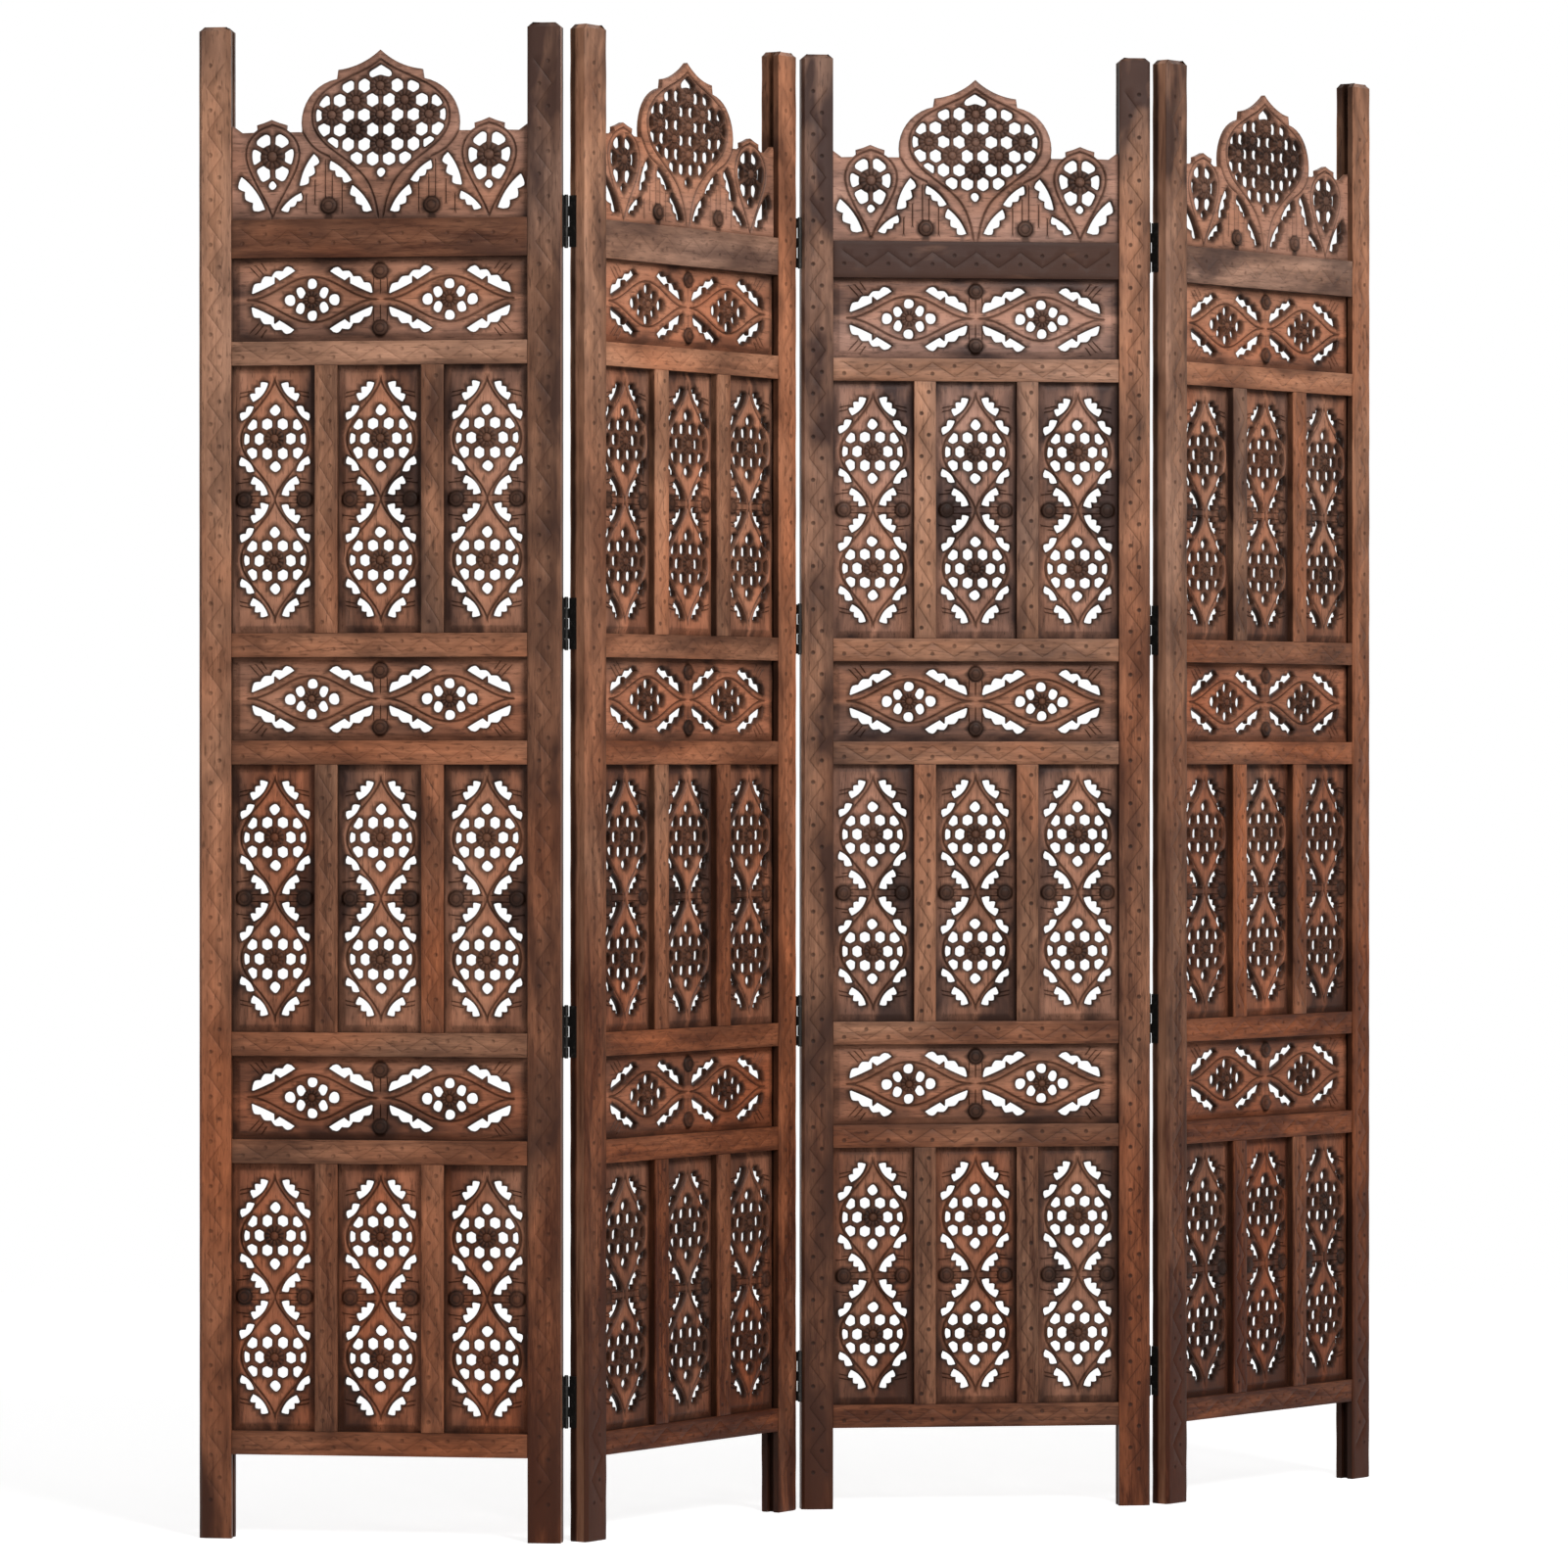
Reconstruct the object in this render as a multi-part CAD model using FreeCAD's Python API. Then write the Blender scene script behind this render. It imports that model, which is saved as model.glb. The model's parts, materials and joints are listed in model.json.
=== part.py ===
"""A four-leaf folding screen of carved and pierced wood, in millimetres.

Each leaf is a grooved frame of two stiles, seven rails and six muntins that holds
thirteen pierced boards. Iron butt hinges on the stiles' end faces join the leaves.

A leaf is made in its own frame: u runs along it from its left end, v from its front
face to its back face, and z up from the floor. Placements then stand the leaves in a
half-open zigzag, with +Z up, the front towards -Y and the origin under the middle.
"""
import FreeCAD, Part
import math
import os
from collections import namedtuple

Vector = FreeCAD.Vector

# Leaves. The angles are in plan, from +X towards +Y, with the screen half open.
LEAF_ANGLES = (-8.0, 55.0, 6.5, 50.0)
LEAF_WIDTH = 400.0
LEAF_THICKNESS = 25.0

# Stiles
STILE_WIDTH = 36.0
STILE_RISE = 211.0
STILE_CHAMFER = 3.4
STILE_TIP_INSET = 6.0
STILE_TIP_DROP = 5.0

# Rails, muntins and the windows between them
LEG_HEIGHT = 92.0
BOTTOM_RAIL_HEIGHT = 26.0
CROSS_RAIL_HEIGHT = 26.0
TOP_RAIL_HEIGHT = 42.0
TILE_WINDOW_HEIGHT = 292.0
BAND_WINDOW_HEIGHT = 91.0
MUNTIN_WIDTH = 25.0
RAIL_INSET = 1.0

# Grooves, stub tenons and boards
BOARD_THICKNESS = 8.0
BOARD_SIDE_PLAY = 0.2
BOARD_END_PLAY = 1.5
GROOVE_DEPTH = 7.0
TENON_END_PLAY = 0.5
CREST_HEIGHT = 184.5
BOSS_RISE = 1.6

# Hinges
HINGE_HEIGHT = 56.0
HINGE_PLATE_WIDTH = 12.0
HINGE_PLATE_THICKNESS = 1.0
BARREL_DIAMETER = 5.0
PIN_DIAMETER = 2.2
PIN_CLEARANCE = 0.05
PIN_OFFSET = 1.0
PIN_HEAD_DIAMETER = 4.0
PIN_HEAD_HEIGHT = 1.2
KNUCKLE_COUNT = 5
KNUCKLE_GAP = 0.3

# Countersunk screws
SCREW_LENGTH = 16.0
SCREW_TIP_LENGTH = 4.0
SCREW_HEAD_DIAMETER = 4.4
SCREW_SHANK_DIAMETER = 2.4
SCREW_CLEARANCE = 0.05
SCREW_END_PLAY = 0.8
SCREW_SLOT_WIDTH = 0.6
SCREW_SLOT_DEPTH = 0.4

# One overrun serves every cut
CUT_OVERRUN = 2.0

# Where the hinges sit up the leaf, and the screws on a plate
HINGE_PLACE_SHARES = (0.092, 0.336, 0.605, 0.870)
SCREW_PLACE_SHARES = (-0.36, 0.0, 0.36)
SCREW_LINE_SHARE = 0.66
KNUCKLE_ROOT_SHARE = 0.3

# Tall tile, in shares of the window's half width and half height.
# Oval rows: across, up, half width, half height. Leaf rows: two tips.
TILE_MEDALLION_SHARE = 0.455
TILE_OVAL_SHARES = (
    (0.0, 0.212, 0.130, 0.041),
    (0.183, 0.115, 0.126, 0.039),
    (0.360, 0.0, 0.100, 0.0445),
    (0.637, 0.0, 0.085, 0.049),
    (0.496, 0.0945, 0.112, 0.033),
)
TILE_LEAF_SHARES = (
    (0.162, 0.418, 0.550, 0.277),
    (0.503, 0.243, 0.831, 0.1335),
)
TILE_LEAF_LOBES = 2
TILE_ROSETTE_SHARE = 0.079
TILE_BUTTON_PLACE_SHARE = 0.723
TILE_BUTTON_SHARE = 0.066

# Band, in shares of the window's half width and half height
BAND_LENS_SHARE = 0.466
BAND_OVAL_SHARES = (
    (0.0, 0.374, 0.034, 0.121),
    (0.152, 0.0, 0.037, 0.135),
    (0.0774, 0.182, 0.029, 0.132),
)
BAND_LEAF_SHARES = ((0.418, 0.16, 0.107, 0.736),)
BAND_LEAF_LOBES = 4
BAND_ROSETTE_SHARE = 0.198
BAND_BUTTON_PLACE_SHARE = 0.68
BAND_BUTTON_SHARE = 0.19

# Crest, in shares of the opening's half width and the crest's height.
# The outline's right half runs from the apex to the stile, with a bow in each curve.
CREST_APEX_SHARES = (0.0, 1.0)
CREST_SLOPE_SHARES = ((0.110, 0.930), (0.284, 0.883))
CREST_STEP_SHARES = (0.293, 0.830)
CREST_DOME_SHARES = ((0.463, 0.743), (0.530, 0.531))
CREST_VALLEY_SHARES = ((0.532, 0.518), (0.610, 0.518))
CREST_ARCH_SHARES = ((0.622, 0.547), (0.735, 0.587), (0.842, 0.547))
CREST_SHOULDER_SHARES = ((0.850, 0.518), (0.935, 0.516), (1.0, 0.558))
CREST_ROSETTE_PLACE_SHARES = (
    (0.0, 0.784),
    (0.0, 0.623),
    (0.0, 0.442),
    (0.165, 0.712),
    (0.165, 0.532),
    (0.328, 0.623),
)
CREST_ROSETTE_SHARE = 0.062
CREST_OVAL_SHARES = (
    (0.0, 0.870, 0.062, 0.028),
    (0.052, 0.702, 0.036, 0.037),
    (0.052, 0.531, 0.036, 0.037),
    (0.052, 0.350, 0.037, 0.039),
    (0.114, 0.789, 0.035, 0.036),
    (0.216, 0.785, 0.035, 0.034),
    (0.113, 0.618, 0.036, 0.037),
    (0.216, 0.616, 0.035, 0.036),
    (0.113, 0.444, 0.036, 0.037),
    (0.220, 0.444, 0.037, 0.037),
    (0.275, 0.706, 0.035, 0.035),
    (0.380, 0.700, 0.031, 0.033),
    (0.277, 0.536, 0.036, 0.037),
    (0.383, 0.532, 0.035, 0.036),
    (0.418, 0.615, 0.018, 0.035),
    (0.0, 0.282, 0.033, 0.033),
    (0.158, 0.374, 0.029, 0.028),
    (0.325, 0.464, 0.034, 0.028),
)
CREST_SIDE_SHARES = (0.732, 0.374)
CREST_SIDE_ROSETTE_SHARE = 0.072
CREST_SIDE_OVAL_SHARES = (
    (0.064, 0.088, 0.043, 0.030),
    (0.122, 0.0, 0.031, 0.051),
    (0.061, -0.092, 0.043, 0.034),
    (0.0, -0.168, 0.033, 0.031),
)
CREST_OUTER_LEAF_SHARES = (
    (0.951, 0.260, 0.787, 0.050),
    (0.677, 0.060, 0.530, 0.163),
    (0.549, 0.195, 0.445, 0.401),
)
CREST_INNER_LEAF_SHARES = (
    (0.341, 0.347, 0.195, 0.222),
    (0.195, 0.206, 0.061, 0.043),
)
CREST_LEAF_LOBES = 3
CREST_BUTTON_SHARES = (0.347, 0.081)
CREST_BUTTON_SHARE = 0.054

# A serrated leaf hole, in shares of its length, and a boss's flat top
LEAF_BELLY_SHARE = 0.09
LEAF_NOTCH_SHARE = 0.10
LEAF_LOBE_SHARE = 0.19
BOSS_TOP_SHARE = 0.62

# Sizes that follow from those above
OPENING_LEFT = STILE_WIDTH
OPENING_RIGHT = LEAF_WIDTH - STILE_WIDTH
OPENING_WIDTH = OPENING_RIGHT - OPENING_LEFT
TILES_IN_ROW = 3
TILE_WINDOW_WIDTH = (OPENING_WIDTH - (TILES_IN_ROW - 1) * MUNTIN_WIDTH) / TILES_IN_ROW
MID_PLANE = LEAF_THICKNESS / 2
BOARD_FRONT = MID_PLANE - BOARD_THICKNESS / 2
GROOVE_WIDTH = BOARD_THICKNESS + 2 * BOARD_SIDE_PLAY
BOARD_ENTRY = GROOVE_DEPTH - BOARD_END_PLAY
TENON_LENGTH = GROOVE_DEPTH - TENON_END_PLAY
LEAF_GAP = BARREL_DIAMETER
MEMBERS = (
    ("bottom_rail", BOTTOM_RAIL_HEIGHT),
    ("lower_tiles", TILE_WINDOW_HEIGHT),
    ("cross_rail", CROSS_RAIL_HEIGHT),
    ("band", BAND_WINDOW_HEIGHT),
    ("cross_rail", CROSS_RAIL_HEIGHT),
    ("middle_tiles", TILE_WINDOW_HEIGHT),
    ("cross_rail", CROSS_RAIL_HEIGHT),
    ("band", BAND_WINDOW_HEIGHT),
    ("cross_rail", CROSS_RAIL_HEIGHT),
    ("upper_tiles", TILE_WINDOW_HEIGHT),
    ("cross_rail", CROSS_RAIL_HEIGHT),
    ("band", BAND_WINDOW_HEIGHT),
    ("top_rail", TOP_RAIL_HEIGHT),
)
FRAME_TOP = LEG_HEIGHT + sum(height for name, height in MEMBERS)
LEAF_HEIGHT = FRAME_TOP + STILE_RISE
HINGE_HEIGHTS = [share * LEAF_HEIGHT for share in HINGE_PLACE_SHARES]


def box(u_low, u_high, v_low, v_high, z_low, z_high):
    """A block between two corners."""
    corner = Vector(u_low, v_low, z_low)
    return Part.makeBox(u_high - u_low, v_high - v_low, z_high - z_low, corner)


def turned(profile, base, direction):
    """A solid turned from (radius, height) points about an axis through base."""
    points = [Vector(radius, 0, height) for radius, height in profile]
    face = Part.Face(Part.makePolygon(points + points[:1]))
    solid = face.revolve(Vector(0, 0, 0), Vector(0, 0, 1), 360)
    turn = FreeCAD.Rotation(Vector(0, 0, 1), direction)
    solid.Placement = FreeCAD.Placement(base, turn)
    return solid


# One end of a leaf as its hinges see it: distances out from the end face, distances
# in from the pin's plane, and heights.
class LeafEnd(namedtuple("LeafEnd", "face_u out pin_v inward")):
    """An end face of a leaf with its pin's plane in front of or behind the leaf."""

    def point(self, out, inward, height):
        return Vector(self.face_u + self.out * out, self.pin_v + self.inward * inward, height)

    def box(self, out_low, out_high, in_low, in_high, z_low, z_high):
        first = self.point(out_low, in_low, z_low)
        last = self.point(out_high, in_high, z_high)
        u_low, u_high = sorted((first.x, last.x))
        v_low, v_high = sorted((first.y, last.y))
        return box(u_low, u_high, v_low, v_high, z_low, z_high)


def leaf_end(at_right, pin_at_back):
    """The left or right end of a leaf, with the pin behind or in front of it."""
    face_u, out = (LEAF_WIDTH, 1) if at_right else (0.0, -1)
    if pin_at_back:
        return LeafEnd(face_u, out, LEAF_THICKNESS + PIN_OFFSET, -1)
    return LeafEnd(face_u, out, -PIN_OFFSET, 1)


def member_spans():
    """(name, bottom, top) of each rail and window, from the legs up."""
    spans = []
    low = LEG_HEIGHT
    for name, height in MEMBERS:
        spans.append((name, low, low + height))
        low += height
    return spans


def groove_across(z_low, z_high):
    """A groove along a rail, cut through both its ends."""
    return box(
        OPENING_LEFT - CUT_OVERRUN,
        OPENING_RIGHT + CUT_OVERRUN,
        MID_PLANE - GROOVE_WIDTH / 2,
        MID_PLANE + GROOVE_WIDTH / 2,
        z_low,
        z_high,
    )


def screw_places(end, hinge_height):
    """The three points on the end face where a plate's screws enter."""
    inward = SCREW_LINE_SHARE * HINGE_PLATE_WIDTH
    return [
        end.point(0, inward, hinge_height + share * HINGE_HEIGHT) for share in SCREW_PLACE_SHARES
    ]


def stile(at_right, end):
    """A stile, with pilot holes where it carries hinges. end is None where it has none."""

    def along(distance):
        return LEAF_WIDTH - distance if at_right else distance

    section = [
        (along(0), STILE_CHAMFER),
        (along(STILE_CHAMFER), 0),
        (along(STILE_WIDTH), 0),
        (along(STILE_WIDTH), LEAF_THICKNESS),
        (along(STILE_CHAMFER), LEAF_THICKNESS),
        (along(0), LEAF_THICKNESS - STILE_CHAMFER),
    ]
    points = [Vector(u, v, 0) for u, v in section]
    post = Part.Face(Part.makePolygon(points + points[:1])).extrude(Vector(0, 0, LEAF_HEIGHT))

    u_low, u_high = sorted((along(0), along(STILE_WIDTH)))

    def tip_outline(inset, height):
        corners = [
            Vector(u_low + inset, inset, height),
            Vector(u_high - inset, inset, height),
            Vector(u_high - inset, LEAF_THICKNESS - inset, height),
            Vector(u_low + inset, LEAF_THICKNESS - inset, height),
        ]
        return Part.makePolygon(corners + corners[:1])

    tip_foot = LEAF_HEIGHT - STILE_TIP_DROP
    tip = Part.makeLoft([tip_outline(0, tip_foot), tip_outline(STILE_TIP_INSET, LEAF_HEIGHT)], True, True)
    shaft = box(u_low, u_high, 0, LEAF_THICKNESS, 0, tip_foot)
    post = post.common(shaft.fuse(tip).removeSplitter())

    groove_u = sorted((along(STILE_WIDTH - GROOVE_DEPTH), along(STILE_WIDTH + CUT_OVERRUN)))
    groove = box(
        groove_u[0],
        groove_u[1],
        MID_PLANE - GROOVE_WIDTH / 2,
        MID_PLANE + GROOVE_WIDTH / 2,
        -CUT_OVERRUN,
        LEAF_HEIGHT + CUT_OVERRUN,
    )
    post = post.cut(groove)
    if end is None:
        return post
    radius = SCREW_SHANK_DIAMETER / 2 + SCREW_CLEARANCE
    depth = SCREW_LENGTH + SCREW_END_PLAY
    inward = Vector(-end.out, 0, 0)
    holes = [
        Part.makeCylinder(radius, depth + CUT_OVERRUN, place - inward * CUT_OVERRUN, inward)
        for height in HINGE_HEIGHTS
        for place in screw_places(end, height)
    ]
    return post.cut(holes)


def rail(z_low, z_high, groove_below, groove_above):
    """A rail with a stub tenon at each end and grooves for the boards beside it."""
    face_low, face_high = RAIL_INSET, LEAF_THICKNESS - RAIL_INSET
    body = box(OPENING_LEFT, OPENING_RIGHT, face_low, face_high, z_low, z_high)
    if groove_below:
        body = body.cut(groove_across(z_low - CUT_OVERRUN, z_low + GROOVE_DEPTH))
    if groove_above:
        body = body.cut(groove_across(z_high - GROOVE_DEPTH, z_high + CUT_OVERRUN))
    tenon = box(
        OPENING_LEFT - TENON_LENGTH,
        OPENING_RIGHT + TENON_LENGTH,
        MID_PLANE - BOARD_THICKNESS / 2,
        MID_PLANE + BOARD_THICKNESS / 2,
        z_low + GROOVE_DEPTH,
        z_high - GROOVE_DEPTH,
    )
    return body.fuse(tenon).removeSplitter()


def muntin(u_low, z_low, z_high):
    """An upright bar between two tiles, tenoned into the rails above and below."""
    u_high = u_low + MUNTIN_WIDTH
    v_low, v_high = MID_PLANE - GROOVE_WIDTH / 2, MID_PLANE + GROOVE_WIDTH / 2
    groove_z = (z_low - CUT_OVERRUN, z_high + CUT_OVERRUN)
    body = box(u_low, u_high, RAIL_INSET, LEAF_THICKNESS - RAIL_INSET, z_low, z_high)
    body = body.cut(box(u_low - CUT_OVERRUN, u_low + GROOVE_DEPTH, v_low, v_high, *groove_z))
    body = body.cut(box(u_high - GROOVE_DEPTH, u_high + CUT_OVERRUN, v_low, v_high, *groove_z))
    tenon = box(
        u_low + GROOVE_DEPTH,
        u_high - GROOVE_DEPTH,
        MID_PLANE - BOARD_THICKNESS / 2,
        MID_PLANE + BOARD_THICKNESS / 2,
        z_low - TENON_LENGTH,
        z_high + TENON_LENGTH,
    )
    return body.fuse(tenon).removeSplitter()


def on_board(u, z):
    """A point on the boards' front face."""
    return Vector(u, BOARD_FRONT, z)


def oval(centre, half_width, half_height):
    """A hole's outline of two arcs, which is a circle when both halves are alike."""
    across, up = Vector(half_width, 0, 0), Vector(0, 0, half_height)
    long_half, short_half = (across, up) if half_width > half_height else (up, across)
    first = Part.Arc(centre + long_half, centre + short_half, centre - long_half)
    second = Part.Arc(centre - long_half, centre - short_half, centre + long_half)
    return Part.Wire([first.toShape(), second.toShape()])


def serrated_leaf(first_tip, last_tip, middle, lobes):
    """A leaf-shaped hole: a plain edge towards middle, and scalloped lobes away from it."""
    chord = last_tip - first_tip
    length = chord.Length
    outward = Vector(chord.z, 0, -chord.x) / length
    half_way = (first_tip + last_tip) / 2
    if outward.dot(half_way - middle) < 0:
        outward = -outward
    edges = [Part.Arc(last_tip, half_way - outward * (LEAF_BELLY_SHARE * length), first_tip).toShape()]

    def station(share, rise_share):
        return first_tip + chord * share + outward * (rise_share * length)

    start = first_tip
    for lobe in range(lobes):
        last = lobe == lobes - 1
        stop = last_tip if last else station((lobe + 1) / lobes, LEAF_NOTCH_SHARE)
        crown = station((lobe + 1 / 2) / lobes, LEAF_LOBE_SHARE / math.sqrt(lobes - 1))
        edges.append(Part.Arc(start, crown, stop).toShape())
        start = stop
    return Part.Wire(Part.__sortEdges__(edges))


def signs(value):
    """Both sides of a middle line, or once on it."""
    return (1, -1) if value else (1,)


def ovals_about(centre, half_width, half_height, rows, both_ways):
    """The ovals of one motif, mirrored left to right and, if both_ways, top to bottom."""
    wires = []
    for across, up, wide, high in rows:
        for side in signs(across):
            for way in signs(up) if both_ways else (1,):
                place = centre + Vector(side * across * half_width, 0, way * up * half_height)
                wires.append(oval(place, wide * half_width, high * half_height))
    return wires


def boss(centre, radius):
    """A low round boss with sloping sides on a board's front face."""
    return Part.makeCone(radius, BOSS_TOP_SHARE * radius, BOSS_RISE, centre, Vector(0, -1, 0))


def pierced_board(outline, holes, bosses):
    """A board of the boards' thickness with its holes cut through and its bosses on."""
    face = Part.makeFace([outline] + holes, "Part::FaceMakerBullseye")
    return face.extrude(Vector(0, BOARD_THICKNESS, 0)).fuse(bosses)


def tongued_outline(u_low, u_high, z_low, z_high):
    """A window's outline, widened by what enters the grooves around it."""
    corners = [
        on_board(u_low - BOARD_ENTRY, z_low - BOARD_ENTRY),
        on_board(u_high + BOARD_ENTRY, z_low - BOARD_ENTRY),
        on_board(u_high + BOARD_ENTRY, z_high + BOARD_ENTRY),
        on_board(u_low - BOARD_ENTRY, z_high + BOARD_ENTRY),
    ]
    return Part.makePolygon(corners + corners[:1])


def tile(u_low, z_low, z_high):
    """A tall tile: two medallions, one above the other, with leaves around them."""
    half_width, half_height = TILE_WINDOW_WIDTH / 2, (z_high - z_low) / 2
    centre = on_board(u_low + half_width, z_low + half_height)
    rise = TILE_MEDALLION_SHARE * half_height
    holes, bosses = [], []
    for way in (1, -1):
        middle = centre + Vector(0, 0, way * rise)
        holes += ovals_about(middle, half_width, half_height, TILE_OVAL_SHARES, True)
        for x_first, z_first, x_last, z_last in TILE_LEAF_SHARES:
            for side in (1, -1):
                for up in (1, -1):
                    tips = [
                        middle + Vector(side * x * half_width, 0, up * z * half_height)
                        for x, z in ((x_first, z_first), (x_last, z_last))
                    ]
                    holes.append(serrated_leaf(*tips, middle, TILE_LEAF_LOBES))
        bosses.append(boss(middle, TILE_ROSETTE_SHARE * half_height))
    for side in (1, -1):
        place = centre + Vector(side * TILE_BUTTON_PLACE_SHARE * half_width, 0, 0)
        bosses.append(boss(place, TILE_BUTTON_SHARE * half_height))
    outline = tongued_outline(u_low, u_low + TILE_WINDOW_WIDTH, z_low, z_high)
    return pierced_board(outline, holes, bosses)


def band(z_low, z_high):
    """A low board the width of the opening: two lens-shaped medallions side by side."""
    half_width, half_height = OPENING_WIDTH / 2, (z_high - z_low) / 2
    centre = on_board(OPENING_LEFT + half_width, z_low + half_height)
    holes, bosses = [], []
    for lens in (1, -1):
        middle = centre + Vector(lens * BAND_LENS_SHARE * half_width, 0, 0)
        holes += ovals_about(middle, half_width, half_height, BAND_OVAL_SHARES, True)
        for x_first, z_first, x_last, z_last in BAND_LEAF_SHARES:
            for side in (1, -1):
                for up in (1, -1):
                    tips = [
                        middle + Vector(side * x * half_width, 0, up * z * half_height)
                        for x, z in ((x_first, z_first), (x_last, z_last))
                    ]
                    holes.append(serrated_leaf(*tips, middle, BAND_LEAF_LOBES))
        bosses.append(boss(middle, BAND_ROSETTE_SHARE * half_height))
    for up in (1, -1):
        place = centre + Vector(0, 0, up * BAND_BUTTON_PLACE_SHARE * half_height)
        bosses.append(boss(place, BAND_BUTTON_SHARE * half_height))
    outline = tongued_outline(OPENING_LEFT, OPENING_RIGHT, z_low, z_high)
    return pierced_board(outline, holes, bosses)


def crest_outline(place):
    """The crest's domed outline with its tongues in the top rail and the stiles."""

    def half(side):
        def at(shares):
            return place(side * shares[0], shares[1])

        slope, dome, arch = CREST_SLOPE_SHARES, CREST_DOME_SHARES, CREST_ARCH_SHARES
        shoulder = CREST_SHOULDER_SHARES
        return [
            Part.Arc(at(CREST_APEX_SHARES), at(slope[0]), at(slope[1])),
            Part.LineSegment(at(slope[1]), at(CREST_STEP_SHARES)),
            Part.Arc(at(CREST_STEP_SHARES), at(dome[0]), at(dome[1])),
            Part.LineSegment(at(dome[1]), at(CREST_VALLEY_SHARES[0])),
            Part.LineSegment(at(CREST_VALLEY_SHARES[0]), at(CREST_VALLEY_SHARES[1])),
            Part.LineSegment(at(CREST_VALLEY_SHARES[1]), at(arch[0])),
            Part.Arc(at(arch[0]), at(arch[1]), at(arch[2])),
            Part.LineSegment(at(arch[2]), at(shoulder[0])),
            Part.LineSegment(at(shoulder[0]), at(shoulder[1])),
            Part.LineSegment(at(shoulder[1]), at(shoulder[2])),
        ]

    edges = [curve.toShape() for side in (1, -1) for curve in half(side)]
    across, up = CREST_SHOULDER_SHARES[-1]
    tongue = Vector(BOARD_ENTRY, 0, 0)
    down = Vector(0, 0, BOARD_ENTRY)
    skirt = [
        place(across, up),
        place(across, up) + tongue,
        place(across, 0) + tongue - down,
        place(-across, 0) - tongue - down,
        place(-across, up) - tongue,
        place(-across, up),
    ]
    edges += Part.makePolygon(skirt).Edges
    return Part.Wire(Part.__sortEdges__(edges))


def crest():
    """The pierced crest on the top rail: a domed medallion between two small arches."""
    half_width = OPENING_WIDTH / 2

    def place(across, up):
        return on_board(OPENING_LEFT + half_width + across * half_width, FRAME_TOP + up * CREST_HEIGHT)

    holes = ovals_about(place(0, 0), half_width, CREST_HEIGHT, CREST_OVAL_SHARES, False)
    bosses = [
        boss(place(side * across, up), CREST_ROSETTE_SHARE * CREST_HEIGHT)
        for across, up in CREST_ROSETTE_PLACE_SHARES
        for side in signs(across)
    ]
    main_middle = place(0, CREST_ROSETTE_PLACE_SHARES[1][1])
    for side in (1, -1):
        middle = place(side * CREST_SIDE_SHARES[0], CREST_SIDE_SHARES[1])
        holes += ovals_about(middle, half_width, CREST_HEIGHT, CREST_SIDE_OVAL_SHARES, False)
        bosses.append(boss(middle, CREST_SIDE_ROSETTE_SHARE * CREST_HEIGHT))
        leaves = [(row, middle) for row in CREST_OUTER_LEAF_SHARES]
        leaves += [(row, main_middle) for row in CREST_INNER_LEAF_SHARES]
        for (x_first, z_first, x_last, z_last), towards in leaves:
            tips = place(side * x_first, z_first), place(side * x_last, z_last)
            holes.append(serrated_leaf(*tips, towards, CREST_LEAF_LOBES))
        button = place(side * CREST_BUTTON_SHARES[0], CREST_BUTTON_SHARES[1])
        bosses.append(boss(button, CREST_BUTTON_SHARE * CREST_HEIGHT))
    return pierced_board(crest_outline(place), holes, bosses)


def knuckle_span(hinge_height, index, gap):
    """The bottom and top of one knuckle of a hinge, drawn in or out by half a gap."""
    pitch = HINGE_HEIGHT / KNUCKLE_COUNT
    low = hinge_height - HINGE_HEIGHT / 2 + index * pitch
    return low + gap / 2, low + pitch - gap / 2


def hinge_plate(end, hinge_height, first_knuckle):
    """A hinge plate on an end face with every second knuckle rolled round the pin."""
    radius = BARREL_DIAMETER / 2
    low, high = hinge_height - HINGE_HEIGHT / 2, hinge_height + HINGE_HEIGHT / 2
    root = KNUCKLE_ROOT_SHARE * radius
    plate = end.box(0, HINGE_PLATE_THICKNESS, root, HINGE_PLATE_WIDTH, low, high)
    notch_in = radius + KNUCKLE_GAP
    for index in range(1 - first_knuckle, KNUCKLE_COUNT, 2):
        notch_low, notch_high = knuckle_span(hinge_height, index, -KNUCKLE_GAP)
        notch = end.box(
            -CUT_OVERRUN, HINGE_PLATE_THICKNESS + CUT_OVERRUN, 0, notch_in, notch_low, notch_high
        )
        plate = plate.cut(notch)
    knuckles = []
    for index in range(first_knuckle, KNUCKLE_COUNT, 2):
        knuckle_low, knuckle_high = knuckle_span(hinge_height, index, KNUCKLE_GAP)
        foot = end.point(LEAF_GAP / 2, 0, knuckle_low)
        knuckles.append(Part.makeCylinder(radius, knuckle_high - knuckle_low, foot))
    plate = plate.fuse(knuckles)
    bore_foot = end.point(LEAF_GAP / 2, 0, low - CUT_OVERRUN)
    bore = Part.makeCylinder(
        PIN_DIAMETER / 2 + PIN_CLEARANCE, HINGE_HEIGHT + 2 * CUT_OVERRUN, bore_foot
    )
    shank = SCREW_SHANK_DIAMETER / 2 + SCREW_CLEARANCE
    head = SCREW_HEAD_DIAMETER / 2 + SCREW_CLEARANCE
    countersink = [
        (0, -CUT_OVERRUN),
        (shank, -CUT_OVERRUN),
        (shank, 0),
        (head, HINGE_PLATE_THICKNESS),
        (head, HINGE_PLATE_THICKNESS + CUT_OVERRUN),
        (0, HINGE_PLATE_THICKNESS + CUT_OVERRUN),
    ]
    out = Vector(end.out, 0, 0)
    holes = [turned(countersink, place, out) for place in screw_places(end, hinge_height)]
    return plate.cut([bore] + holes)


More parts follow.
